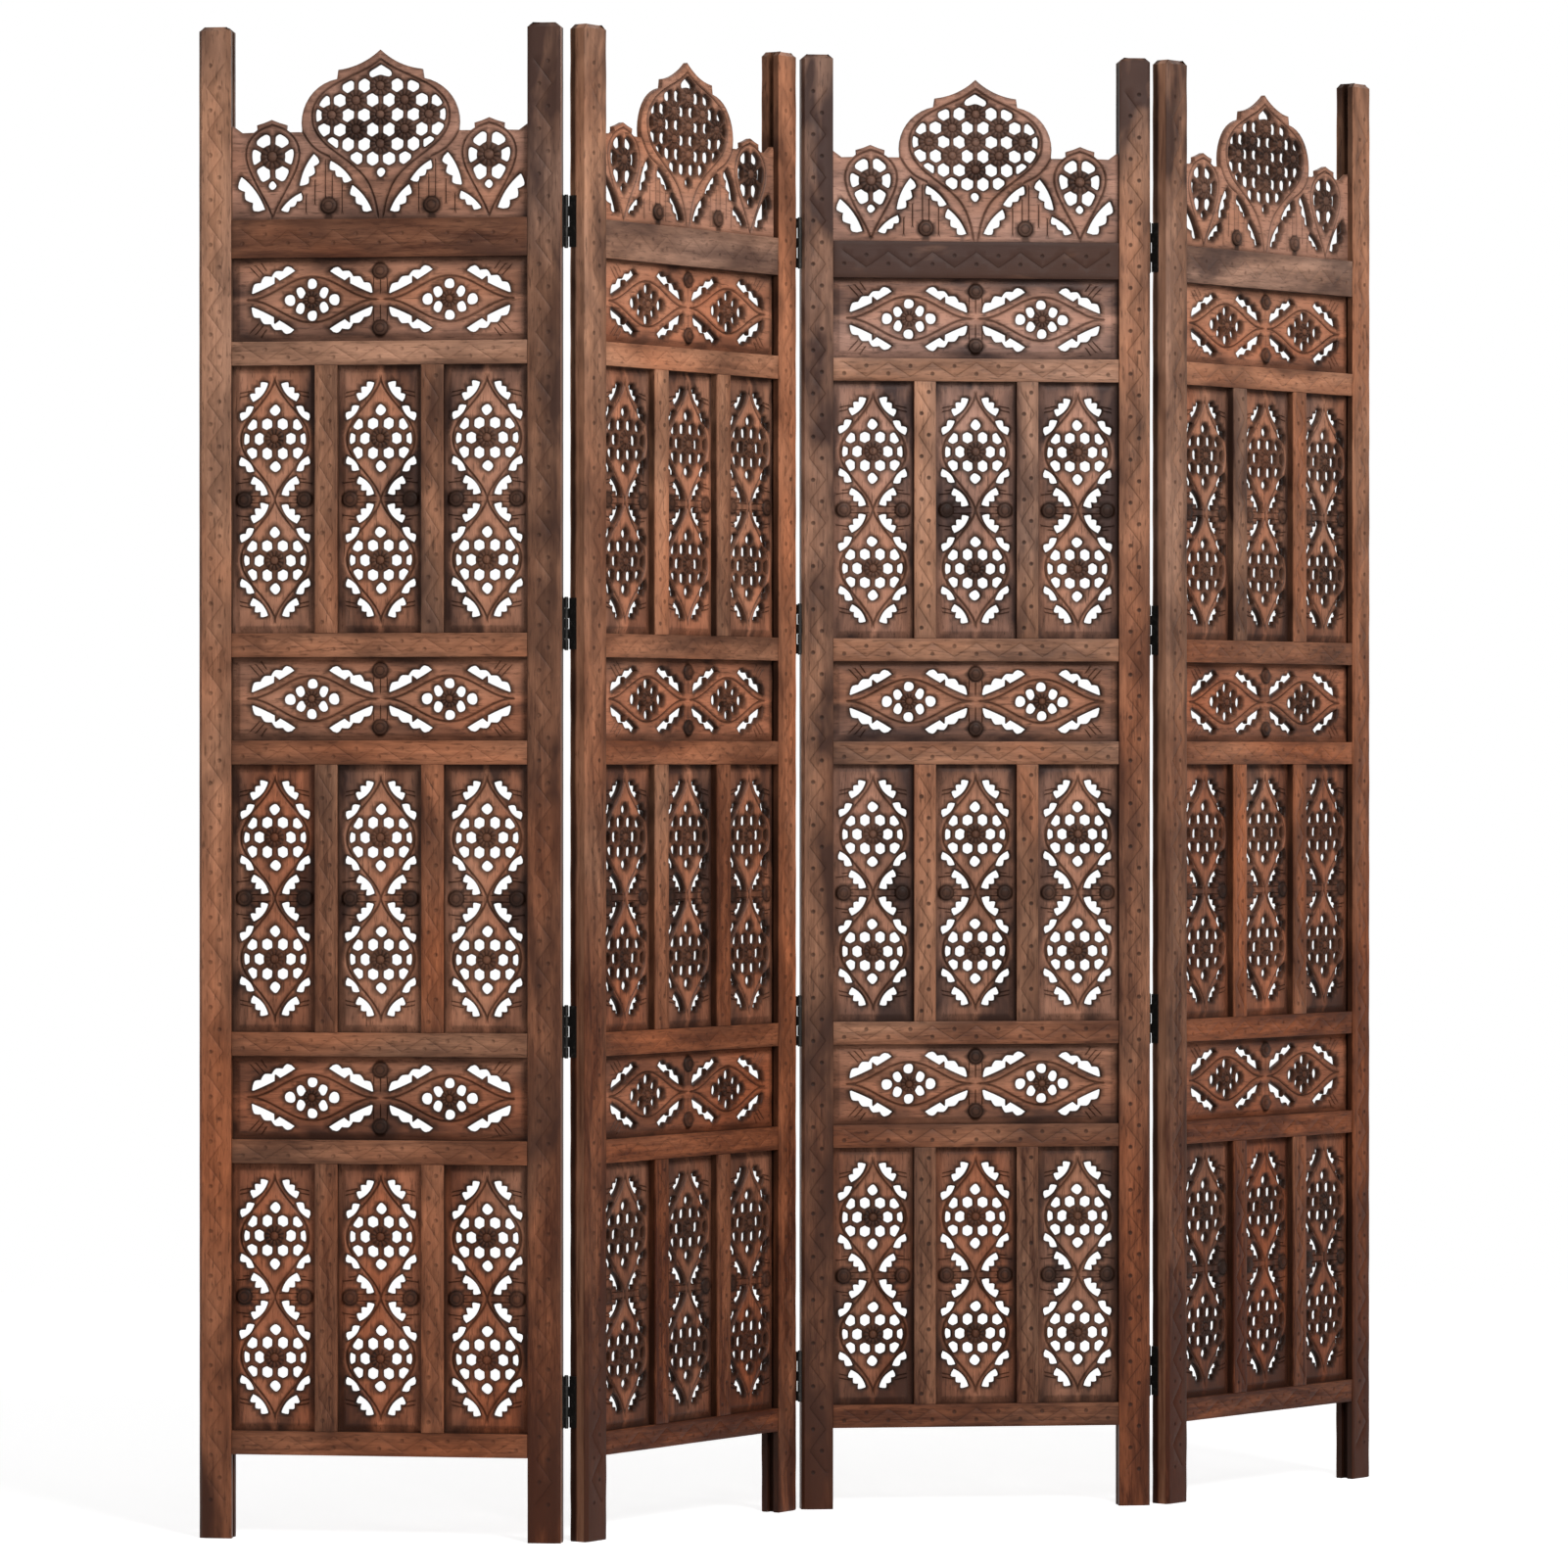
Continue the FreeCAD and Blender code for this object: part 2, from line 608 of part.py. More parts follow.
def hinge_pin(end, hinge_height):
    """A hinge pin with a flat head at each end of the barrel."""
    half = HINGE_HEIGHT / 2 - KNUCKLE_GAP / 2
    tip = half + PIN_HEAD_HEIGHT
    shank, head = PIN_DIAMETER / 2, PIN_HEAD_DIAMETER / 2
    profile = [
        (0, -tip),
        (head, -tip),
        (head, -half),
        (shank, -half),
        (shank, half),
        (head, half),
        (head, tip),
        (0, tip),
    ]
    return turned(profile, end.point(LEAF_GAP / 2, 0, hinge_height), Vector(0, 0, 1))


def screws(end, hinge_height):
    """The three slotted countersunk screws of one plate."""
    shank, head = SCREW_SHANK_DIAMETER / 2, SCREW_HEAD_DIAMETER / 2
    profile = [
        (0, -SCREW_LENGTH),
        (shank, SCREW_TIP_LENGTH - SCREW_LENGTH),
        (shank, 0),
        (head, HINGE_PLATE_THICKNESS),
        (0, HINGE_PLATE_THICKNESS),
    ]
    out = Vector(end.out, 0, 0)
    slot_low = HINGE_PLATE_THICKNESS - SCREW_SLOT_DEPTH
    slot_high = HINGE_PLATE_THICKNESS + CUT_OVERRUN
    made = []
    for place in screw_places(end, hinge_height):
        inward = (place.y - end.pin_v) * end.inward
        slot = end.box(
            slot_low,
            slot_high,
            inward - head,
            inward + head,
            place.z - SCREW_SLOT_WIDTH / 2,
            place.z + SCREW_SLOT_WIDTH / 2,
        )
        made.append(turned(profile, place, out).cut(slot))
    return made


def pin_at_back(joint):
    """Joint 0 is between the first two leaves. Outward folds have their pins behind."""
    return joint % 2 == 0


def leaf_ends(leaf):
    """The hinged ends of a leaf, left and right, with None at a free end."""
    left = leaf_end(False, pin_at_back(leaf - 1)) if leaf > 0 else None
    right = leaf_end(True, pin_at_back(leaf)) if leaf < len(LEAF_ANGLES) - 1 else None
    return left, right


def leaf_boards_and_rails():
    """The pieces that every leaf has alike: {name: solids}."""
    pieces = {"cross_rails": [], "muntins": [], "bands": []}
    for name, low, high in member_spans():
        if name == "bottom_rail":
            pieces["bottom_rail"] = [rail(low, high, False, True)]
        elif name == "cross_rail":
            pieces["cross_rails"].append(rail(low, high, True, True))
        elif name == "top_rail":
            pieces["top_rail"] = [rail(low, high, True, True)]
        elif name == "band":
            pieces["bands"].append(band(low, high))
        else:
            step = TILE_WINDOW_WIDTH + MUNTIN_WIDTH
            lefts = [OPENING_LEFT + index * step for index in range(TILES_IN_ROW)]
            pieces[name] = [tile(left, low, high) for left in lefts]
            pieces["muntins"] += [muntin(left - MUNTIN_WIDTH, low, high) for left in lefts[1:]]
    pieces["crest"] = [crest()]
    return pieces


def leaf_placements():
    """Where each leaf stands in plan, chained through the hinge pins."""
    placements = []
    base = Vector(0, 0, 0)
    for leaf, angle in enumerate(LEAF_ANGLES):
        turn = FreeCAD.Rotation(Vector(0, 0, 1), angle)
        left, right = leaf_ends(leaf)
        if left is not None:
            base = base - turn.multVec(left.point(LEAF_GAP / 2, 0, 0))
        placements.append(FreeCAD.Placement(base, turn))
        if right is not None:
            base = placements[-1].multVec(right.point(LEAF_GAP / 2, 0, 0))
    return placements


def placed(solids, placement):
    """Copies of a leaf's solids where the leaf stands."""
    copies = []
    for solid in solids:
        copy = solid.copy()
        copy.Placement = placement.multiply(copy.Placement)
        copies.append(copy)
    return copies


def centred_placements(stiles):
    """The leaves' placements, moved so that the origin is under the screen's middle."""
    placements = leaf_placements()
    posts = [post for leaf, placement in enumerate(placements) for post in placed(stiles[leaf], placement)]
    bounds = Part.makeCompound(posts).BoundBox
    middle = Vector(bounds.Center.x, bounds.Center.y, 0)
    return [FreeCAD.Placement(place.Base - middle, place.Rotation) for place in placements]


def leaf_stiles():
    """Each leaf's left and right stile."""
    stiles = []
    for leaf in range(len(LEAF_ANGLES)):
        left, right = leaf_ends(leaf)
        stiles.append([stile(False, left), stile(True, right)])
    return stiles


def make_nodes():
    """Every node's solids in their places: {node: solids}."""
    stiles = leaf_stiles()
    placements = centred_placements(stiles)
    alike = leaf_boards_and_rails()
    nodes = {}
    for leaf, placement in enumerate(placements):
        prefix = f"leaf_{leaf + 1}"
        nodes[f"{prefix}_left_stile"] = placed(stiles[leaf][:1], placement)
        nodes[f"{prefix}_right_stile"] = placed(stiles[leaf][1:], placement)
        for name, solids in alike.items():
            nodes[f"{prefix}_{name}"] = placed(solids, placement)
    for joint in range(len(LEAF_ANGLES) - 1):
        prefix = f"hinge_{joint + 1}"
        right, left = leaf_ends(joint)[1], leaf_ends(joint + 1)[0]
        here, there = placements[joint], placements[joint + 1]
        right_plates = [hinge_plate(right, height, 0) for height in HINGE_HEIGHTS]
        left_plates = [hinge_plate(left, height, 1) for height in HINGE_HEIGHTS]
        pins = [hinge_pin(right, height) for height in HINGE_HEIGHTS]
        right_screws = [screw for height in HINGE_HEIGHTS for screw in screws(right, height)]
        left_screws = [screw for height in HINGE_HEIGHTS for screw in screws(left, height)]
        nodes[f"{prefix}_outer_plates"] = placed(right_plates, here)
        nodes[f"{prefix}_inner_plates"] = placed(left_plates, there)
        nodes[f"{prefix}_pins"] = placed(pins, here)
        nodes[f"{prefix}_outer_screws"] = placed(right_screws, here)
        nodes[f"{prefix}_inner_screws"] = placed(left_screws, there)
    return nodes


def main():
    os.makedirs("parts", exist_ok=True)
    for node, solids in make_nodes().items():
        shape = solids[0] if len(solids) == 1 else Part.makeCompound(solids)
        shape.exportStep(f"parts/{node}.step")


if __name__ == "__main__":
    main()
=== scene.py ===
"""Looks for a four-leaf folding screen of carved and pierced wood.

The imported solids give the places. Every wooden piece is carved again here as a closed
mesh: pierced boards with bevelled holes, cut lines and rosettes, and frame pieces with a
cut zigzag and dots. Carving is drawn in millimetres on a flat face and then set in metres.
"""
import json
import math
from collections import namedtuple
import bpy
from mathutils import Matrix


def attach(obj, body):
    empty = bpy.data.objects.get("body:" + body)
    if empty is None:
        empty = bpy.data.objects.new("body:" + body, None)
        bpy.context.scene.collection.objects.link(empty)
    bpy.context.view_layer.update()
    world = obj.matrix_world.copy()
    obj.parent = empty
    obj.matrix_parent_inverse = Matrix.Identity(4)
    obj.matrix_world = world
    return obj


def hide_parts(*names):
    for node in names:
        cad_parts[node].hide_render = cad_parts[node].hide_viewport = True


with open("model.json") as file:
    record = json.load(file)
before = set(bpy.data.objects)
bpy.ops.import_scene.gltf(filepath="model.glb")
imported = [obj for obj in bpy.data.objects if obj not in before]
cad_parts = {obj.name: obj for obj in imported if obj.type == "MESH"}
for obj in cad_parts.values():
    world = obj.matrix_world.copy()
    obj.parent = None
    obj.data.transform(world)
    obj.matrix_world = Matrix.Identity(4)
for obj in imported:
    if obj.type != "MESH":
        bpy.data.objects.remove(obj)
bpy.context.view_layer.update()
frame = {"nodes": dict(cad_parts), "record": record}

from types import SimpleNamespace

import bpy
import numpy as np
from bpy.props import FloatProperty, FloatVectorProperty, PointerProperty
from mathutils import Vector
from mathutils.geometry import delaunay_2d_cdt

bl_info = {
    "name": "Carved Folding Screen",
    "version": (1, 0, 0),
    "blender": (4, 5, 0),
    "location": "View3D > Sidebar > Screen",
    "description": "Dresses a packed folding screen in carved and stained wood",
    "category": "Object",
}

MM = 0.001
TINY = 1e-9
NEAR = 0.01
LEAVES = sorted(frame["record"]["behaviour"]["bodies"])
HINGE_NODES = sorted(name for name in frame["nodes"] if name.startswith("hinge_"))
TILE_NODES = ("lower_tiles", "middle_tiles", "upper_tiles")

# Tall tile, in millimetres from its middle. Its honeycomb lies about each medallion's
# rosette, and a cell is its steps across and its rows up. Leaf rows are two tips and a
# number of lobes, chip rows are two ends, and a hole's shape is its width, height, turn
# and squareness.
TILE_PATTERN = (92.67, 292.0)
TILE_MEDALLION_UP = 66.5
TILE_PITCH = (16.9, 15.6)
TILE_WEB = 5.3
TILE_CELLS = ((0.5, 1), (1.5, 1), (1, 0), (2, 0))
TILE_TIP_UP = 30.8
TILE_TIP_SHAPE = (10.8, 11.0, 45.0, 2.8)
TILE_ROSETTE_RADIUS = 10.6
TILE_ROSETTE_GAP = 1.4
TILE_RIM_GAP = 3.4
TILE_LEAVES = ((7.5, 61.0, 25.5, 40.5, 3), (23.3, 35.5, 38.5, 19.5, 2))
TILE_OGEE_HALF_WIDTH = 38.0
TILE_OGEE_HALF_LENGTH = 65.5
TILE_OGEE_POINTS = 40
TILE_OGEE_ROUNDING = 0.25
TILE_BUTTON_ACROSS = 33.5
TILE_BUTTON_RADIUS = 8.6
TILE_CHIPS = (
    (6.0, 3.4, 24.0, 3.8), (25.5, 19.4, 41.0, 17.6), (26.5, 114.0, 38.5, 111.5),
    (26.0, 118.5, 38.0, 116.0), (26.5, 23.0, 34.0, 22.0),
)
TILE_KINDS = 4
TILE_SEED = 1

# Band, in millimetres from its middle, with the ovals and the leaf about each lens. An
# oval is its place across and up and its shape.
BAND_PATTERN = (328.0, 91.0)
BAND_LENS_ACROSS = 76.3
BAND_LENS_HALF_LENGTH = 71.0
BAND_LENS_HALF_HEIGHT = 25.0
BAND_LENS_POINTS = 44
BAND_OVALS = (
    (0.0, 17.0, 11.0, 11.0, 0.0, 2.3),
    (25.0, 0.0, 12.0, 12.2, 0.0, 2.2),
    (12.7, 8.3, 9.6, 12.0, -25.0, 2.5),
)
BAND_LEAF = (68.5, 7.3, 17.5, 33.5, 4)
BAND_ROSETTE_RADIUS = 9.4
BAND_BUTTON_UP = 31.0
BAND_BUTTON_RADIUS = 8.6
BAND_CHIPS = (
    (0.0, 8.0, 0.0, 21.0), (7.5, 11.0, 7.5, 23.0), (130.0, 28.0, 138.0, 37.0),
    (135.5, 26.0, 143.5, 34.5), (127.0, 33.0, 132.0, 40.0),
)
BAND_KINDS = 3
BAND_SEED = 11

# Crest, in millimetres from the middle of its foot. Its outline is given for the right
# half, where a row of four starts with the point that an arc bows through.
CREST_APEX = (0.0, 184.5)
CREST_EDGE = (
    (18.0, 171.6, 46.6, 162.9), (48.1, 153.1), (75.9, 137.1, 86.9, 98.0), (87.2, 95.6),
    (100.0, 95.6), (104.4, 98.6), (104.0, 103.6), (112.0, 106.0), (120.5, 109.4), (129.0, 106.0),
    (137.0, 103.6), (136.6, 98.6), (140.4, 95.6), (153.3, 95.2), (164.0, 103.0),
)
CREST_ARC_POINTS = 10
CREST_WIDTH = 328.0
CREST_MIDDLE = (0.0, 113.7)
CREST_PITCH = (17.95, 15.75)
CREST_WEB = 4.0
CREST_RIM_GAP = 4.2
CREST_ROSETTE_RADIUS = 11.2
CREST_ROSETTES = ((0, 2), (0, 0), (0, -2), (1.5, 1), (1.5, -1), (3, 0))
CREST_CELLS = (
    (1, 2), (2, 2), (0.5, 1), (2.5, 1), (3.5, 1), (1, 0), (2, 0), (4, 0),
    (0.5, -1), (2.5, -1), (3.5, -1), (1, -2), (2, -2), (3, -2), (0.5, -3), (1.5, -3),
)
CREST_TIP = (0.0, 51.5)
CREST_TIP_SHAPE = (9.0, 9.4, 45.0, 2.4)
CREST_APEX_CELL = (0.0, 161.0)
CREST_APEX_PITCH = (30.0, 22.0)
CREST_SIDE = (120.0, 69.0)
CREST_SIDE_ROSETTE_RADIUS = 12.8
CREST_SIDE_PITCH = (20.5, 18.0)
CREST_SIDE_WEB = 4.8
CREST_SIDE_RIM_GAP = 6.4
CREST_SIDE_CELLS = ((0.5, 1), (1, 0), (0.5, -1))
CREST_SIDE_TIP = (0.0, -31.6)
CREST_SIDE_TIP_SHAPE = (8.4, 8.4, 45.0, 2.6)
CREST_OUTER_LEAVES = (
    (156.0, 48.0, 129.0, 9.2, 3), (111.0, 11.0, 87.0, 30.0, 3), (90.0, 36.0, 73.0, 74.0, 3),
)
CREST_INNER_LEAVES = ((56.0, 64.0, 32.0, 41.0, 3), (32.0, 38.0, 10.0, 8.0, 3))
CREST_BUTTON = (57.0, 15.0)
CREST_BUTTON_RADIUS = 9.0
CREST_INNER_LINE = (
    (0.0, 174.0), (13.0, 165.0), (29.0, 157.5), (43.0, 151.5), (60.0, 142.0), (72.0, 130.0),
    (77.0, 116.0), (74.5, 98.0), (63.0, 83.0), (50.0, 73.0), (35.0, 62.0), (20.0, 49.0),
    (12.0, 37.0), (6.0, 21.0), (3.0, 5.0),
)
CREST_OUTER_LINE = ((86.0, 95.0), (80.0, 84.5), (70.0, 74.5), (56.0, 68.0))
CREST_TEARDROP = (
    (120.0, 103.5), (133.5, 99.0), (145.0, 89.0), (150.5, 75.0), (148.0, 59.0), (140.0, 42.0),
    (131.0, 26.0), (124.5, 14.0), (121.0, 5.0),
)
CREST_FLUTES = (
    (42.5, 9.0, 42.5, 38.0), (53.5, 26.0, 53.5, 47.0), (61.0, 26.0, 61.0, 64.0),
    (72.5, 18.0, 72.5, 42.0), (82.5, 9.0, 82.5, 26.0),
)
CREST_STEP = 4.0
CREST_KINDS = 2
CREST_SEED = 21

# Serrated leaf holes, in shares of their length: belly, crown and notches
TILE_LEAF_SHARES = (0.13, 0.14, 0.12)
BAND_LEAF_SHARES = (0.03, 0.055, 0.10)
CREST_LEAF_SHARES = (0.078, 0.098, 0.12)
LEAF_BELLY_SPAN = (0.96, 0.04)
LEAF_BELLY_POINTS = 9
LEAF_BELLY_BACK = 0.015
LEAF_CROWN_START = 0.02
LEAF_CROWN_SPAN = 0.96
LOBE_STEPS = ((0.0, 0.0), (0.22, 0.62), (0.42, 0.98), (0.56, 1.0), (0.78, 0.55))
LOBE_SPREAD = 0.12
BARB_PLACE = 0.60
BARB_HEIGHT = 0.055
BARB_REACH = 0.06
BARB_TIP = (0.03, 0.045)

# How the knife works, in millimetres, and in degrees for its lean
OVAL_POINTS = 16
CELL_POINTS = 30
CELL_PASSES = 3
CELL_LEAD = 4.0
CELL_SIDES = ((1.0, 0.0), (0.5, 1.0), (-0.5, 1.0))
CELL_SMOOTHING = 4.0
HAND_WOBBLE = 0.035
HAND_SHIFT = 0.35
HAND_LEAN = 3.0
HOLE_CLEARANCE = 0.5
HOLE_REACH = 80.0
RIM_WIDTH = 1.7
RIM_DROP = 2.3
RIM_STEPS = (0.45, 1.0)
OGEE_HALF_WIDTH = 2.0
OGEE_DEPTH = 1.8
CHIP_HALF_WIDTH = 1.0
CHIP_DEPTH = 1.1
LINE_ROUNDS = 2
CORNER_CUT = 0.25
BORDER_FLAT = 2.6
BORDER_SLOPE = 4.6
BORDER_DROP = 2.2
BORDER_FADE = 2.2
CREASE_WIDTH = 0.9
BARE_WIDTH = 1.4
BUTTON_RISE = 3.0
BUTTON_RING_PLACE = 0.55
BUTTON_RING_WIDTH = 0.1
BUTTON_RING_DEPTH = 0.45
PETAL_RISE = 1.5
PETAL_COUNT = 12
PETAL_POWER = 0.7
PETAL_VALLEY = 0.35
EYE_SHARE = 0.44
EYE_RISE = 2.3
EYE_RING_WIDTH = 0.07
EYE_RING_DEPTH = 0.3
ZIGZAG_HALF_PITCH = 24.5
ZIGZAG_SWING = 9.0
ZIGZAG_MARGIN = 5.0
ZIGZAG_HALF_WIDTH = 1.1
ZIGZAG_DEPTH = 0.6
ZIGZAG_PLAIN_ENDS = 60.0
DOT_RADIUS = 2.3
DOT_DEPTH = 1.0
DOT_SWING_SHARE = 0.55
ARRIS = 1.1
ARRIS_STEP = 0.35
STILE_LIP = 0.8
BAR_SHOULDER = 3.0
JOINT_LAP = 0.6
WAVE_RISE = 0.14
WAVE_LENGTHS = (5.3, 17.0, 8.1, 23.0)

# The mesh: the size of its triangles, how clear of the drawn lines its other points stay,
# and what counts as the same point. A round's rings are shares of its radius and points.
FILL_STEP = 5.0
FRAME_STEP = 8.0
FILL_CLEARANCE = 0.4
SAME_POINT = 1e-4
SHARP_ANGLE = math.radians(38.0)
PLACES_AT_ONCE = 400
ROUND_RINGS = {
    "dot": ((0.6, 8), (1.0, 8), (1.3, 8)),
    "button": ((0.25, 10), (0.45, 16), (0.55, 20), (0.65, 20), (0.82, 24), (0.94, 24), (1.0, 24)),
    "rosette": (
        (0.2, 10), (0.36, 16), (EYE_SHARE, 24), (0.5, 36), (0.6, 48), (0.78, 48),
        (0.92, 48), (1.0, 48),
    ),
}

# How dark the stain and painted shade lie: 1 is full, and less than 0 is paler, from wear or painted
# light
# The rim ring round a hole is stain and the painted shade of the hole's wall
RIM_STAIN_AND_SHADE = 0.94
RIM_FADE = 2.8
CUT_STAIN = 0.9
CUT_SPREAD = 1.25
ZIGZAG_STAIN = 0.55
ROSETTE_STAIN = 0.88
# The rosette's eye is paler as a painted highlight, and its petal gaps darker as painted shade
EYE_PAINTED_HIGHLIGHT = 0.12
PETAL_GAP_PAINTED_SHADE = 0.2
EYE_RING_STAIN = 0.95
BUTTON_STAIN = 0.84
BUTTON_RING_DARKER = 0.25
DOT_STAIN = 0.95
DOT_EDGE_PALER = 0.2
# A board's border foot by the frame, and the crest's foot by the top rail, hold stain and the painted
# shade of the recess
BORDER_STAIN_AND_SHADE = 0.75
CREASE_STAIN = 0.3
SKYLINE_STAIN = 0.6
# Side walls of rails and muntins, and a post's inner side and groove, hold stain and the painted shade
# of the recess
WALL_STAIN_AND_SHADE = 0.85
GROOVE_STAIN_AND_SHADE = 1.0
# A post's outer side is painted light in its front part and painted shade at its back; the shares say
# where
SIDE_PAINTED_LIGHT = -0.4
SIDE_BACK_PAINTED_SHADE = 0.9
SIDE_LIT_SHARE = 0.54
SIDE_SHADED_SHARE = 0.66
# A post's inner side: stain and the painted shade of the recess
INNER_SIDE_STAIN_AND_SHADE = 0.85
FRAME_EDGE_STAIN = 0.42
FRAME_EDGE_FADE = 4.5
EDGE_WEAR = -0.3

# How likely burnt patches are: on the whole, outside a medallion and near the border,
# where the rise also paints the shade of the frame's recess, and how far in the border's share reaches
TILE_BURN_AND_BORDER_SHADE = (-0.18, 0.66, 0.24, 16.0)
BAND_BURN_AND_BORDER_SHADE = (-0.20, 0.52, 0.25, 20.0)
MEDALLION_FADE = 6.0
CREST_BURN = -0.02
CREST_BURN_MORE = 0.25
CREST_FOOT_REACH = 30.0
CREST_SIDES_START = 130.0
CREST_SIDES_REACH = 34.0
BAR_BURN = 0.16
STILE_BURN = 0.10
STILE_END_BURN = 0.40
STILE_END_REACH = 320.0
WALL_BURN = 0.5
BURN_LEAN = 0.16

# Lightness, redness and burning of the posts and top rails, and the usual ones of the rest
FRAME_TONES = {
    "leaf_1_left_stile": (0.23, 0.20, -0.02),
    "leaf_1_right_stile": (-0.12, 0.12, 0.45),
    "leaf_1_top_rail": (-0.34, 0.75, 0.42),
    "leaf_2_left_stile": (-0.05, 0.30, 0.18),
    "leaf_2_right_stile": (0.10, 0.60, -0.05),
    # Negative redness on the top rails of leaves 2 and 4 is painted sheen, a greyer tan
    "leaf_2_top_rail": (-0.15, -0.30, 0.18),
    "leaf_3_left_stile": (0.04, 0.00, 0.50),
    "leaf_3_right_stile": (0.00, 0.25, 0.20),
    "leaf_3_top_rail": (-0.10, 0.00, 0.98),
    "leaf_4_left_stile": (-0.05, 0.10, 0.16),
    "leaf_4_right_stile": (0.04, 0.70, 0.06),
    # Painted sheen, as on leaf 2's top rail
    "leaf_4_top_rail": (-0.18, -0.30, 0.18),
}
RAIL_LEVEL = (0.02, 0.56, 0.08)
MUNTIN_LEVELS = ((0.08, 0.45, -0.20), (0.08, 0.45, 0.06), (0.08, 0.45, 0.14))
TILE_LEVELS = {
    "leaf_1": (0.26, 0.30, -0.03),
    "leaf_2": (0.17, 0.30, 0.08),
    "leaf_3": (0.22, 0.30, 0.02),
    "leaf_4": (0.18, 0.36, 0.08),
}
BAND_LEVELS = {
    "leaf_1": (0.10, 0.42, 0.05),
    "leaf_2": (0.25, 0.40, -0.04),
    "leaf_3": (0.15, 0.26, 0.0),
    "leaf_4": (0.28, 0.40, -0.04),
}
CREST_LEVEL = (0.08, 0.20, 0.0)
RAIL_SPREAD = 0.08
MUNTIN_SPREAD = 0.28
TILE_SPREAD = 0.12
BAND_SPREAD = 0.08
CREST_SPREAD = 0.08
RED_SPREAD = 0.2

# What a whole leaf adds: lightness, redness, and how much darker its foot is than its top
LEAF_TONES = {
    "leaf_1": (0.09, -0.30, 0.0),
    "leaf_2": (0.04, -0.10, 0.58),
    # Leaf 3's strong negative redness paints a sheen as a greyer tan
    "leaf_3": (0.06, -0.60, 0.24),
    "leaf_4": (0.05, -0.02, 0.66),
}
LEAF_MARKS = {"leaf_1": 0.55, "leaf_2": 0.7, "leaf_3": 1.0, "leaf_4": 0.7}
RAIL_MARKS = {"leaf_1": 0.4, "leaf_2": 0.35, "leaf_3": 0.8, "leaf_4": 0.35}

# Every piece is darker and redder towards the floor
TONE_HEIGHT = 1650.0
TONE_MIDDLE_SHARE = 0.6
HEIGHT_LIGHT = 0.34
HEIGHT_RED = 1.1
RED_TINT = (1.10, 0.72, 0.52)
# The tan tint is also painted sheen, the grey of a broad reflection, where redness is negative
TAN_AND_SHEEN_TINT = (0.97, 1.2, 1.5)

# Grain as noise: waves to the metre along and across it, detail, roughness, distortion
FIGURE = ((6.0, 40.0, 40.0), 4.0, 0.6, 0.8)
STREAK = ((14.0, 210.0, 210.0), 3.0, 0.6, 0.3)
FIBRE = ((70.0, 1300.0, 1300.0), 2.0, 0.6, 0.0)
PATCH = ((8.0, 20.0, 20.0), 3.0, 0.6, 0.4)
FLECK = ((60.0, 380.0, 380.0), 3.0, 0.6, 0.0)
HUE = ((3.0, 11.0, 11.0), 2.0, 0.5, 0.4)
RUB = ((220.0, 220.0, 220.0), 4.0, 0.6, 0.0)
SPECK = ((1400.0, 1400.0, 1400.0), 2.0, 0.5, 0.0)
GRAIN_SHIFT = 40.0

# What is made of that noise: the span that is used of it, and shares, levels and bumps
GRAIN_SPAN = (0.3, 0.7)
GRAIN_SHARES = (0.50, 0.30, 0.20)
GRAIN_LIFT = 0.04
FLECK_SPAN = (0.55, 0.70)
FLECK_SHARE = 0.6
PATCH_SPAN = (0.34, 0.66)
PATCH_SHARE = 0.9
BURN_START = 0.45
HUE_SWING = 0.8
WEAR_SPAN = (0.2, 0.6)
STAIN_SPAN = (-0.6, 1.0)
STAIN_LIFT = 0.2
WOOD_ROUGHNESS = (0.22, 0.36)
WOOD_SPECULAR = 0.10
WOOD_BUMP = (0.35, 0.0004)
RUB_SPAN = (0.55, 0.8)
IRON_METALLIC = 0.55
IRON_ROUGHNESS = (0.3, 0.28)
IRON_BUMP = (0.3, 0.0002)

# The stage: soft square lamps with place, target, width and the setting of their power
SENSOR_WIDTH = 36.0
VIEW_REACH = 60.0
FLOOR_ROUGHNESS = 0.9
WHITE = (1.0, 1.0, 1.0)
LAMPS = (
    ("key", (1.3, -2.6, 2.9), (0.0, 0.0, 1.0), 1.6, "key_power"),
    ("fill", (-0.8, -5.2, 1.7), (0.0, 0.0, 0.8), 2.4, "fill_power"),
    ("back", (0.8, 4.4, 3.2), (0.0, 0.0, 0.8), 2.6, "fill_power"),
)

# Grain along and across a piece, as axes of its leaf, and the ways a board can be turned
UPRIGHT = (2, 0)
LYING = (0, 2)
FLIPS = ((1, 1), (-1, 1), (1, -1), (-1, -1))

Round = namedtuple("Round", "kind centre radius")
Honeycomb = namedtuple("Honeycomb", "middle pitch web rosettes rims")
Shape = namedtuple("Shape", "points faces stain burn")


def ease(share):
    """A smooth step from 0 to 1."""
    share = np.clip(share, 0.0, 1.0)
    return share * share * (3.0 - 2.0 * share)


def resampled(path, step, closed=True):
    """Points along a path, no further apart than step, with its corners kept."""
    path = np.asarray(path, float)
    made = []
    for index in range(len(path) if closed else len(path) - 1):
        start, stop = path[index], path[(index + 1) % len(path)]
        pieces = max(1, math.ceil(np.linalg.norm(stop - start) / step))
        made += [start + (stop - start) * (part / pieces) for part in range(pieces)]
    if not closed:
        made.append(path[-1])
    return np.array(made)


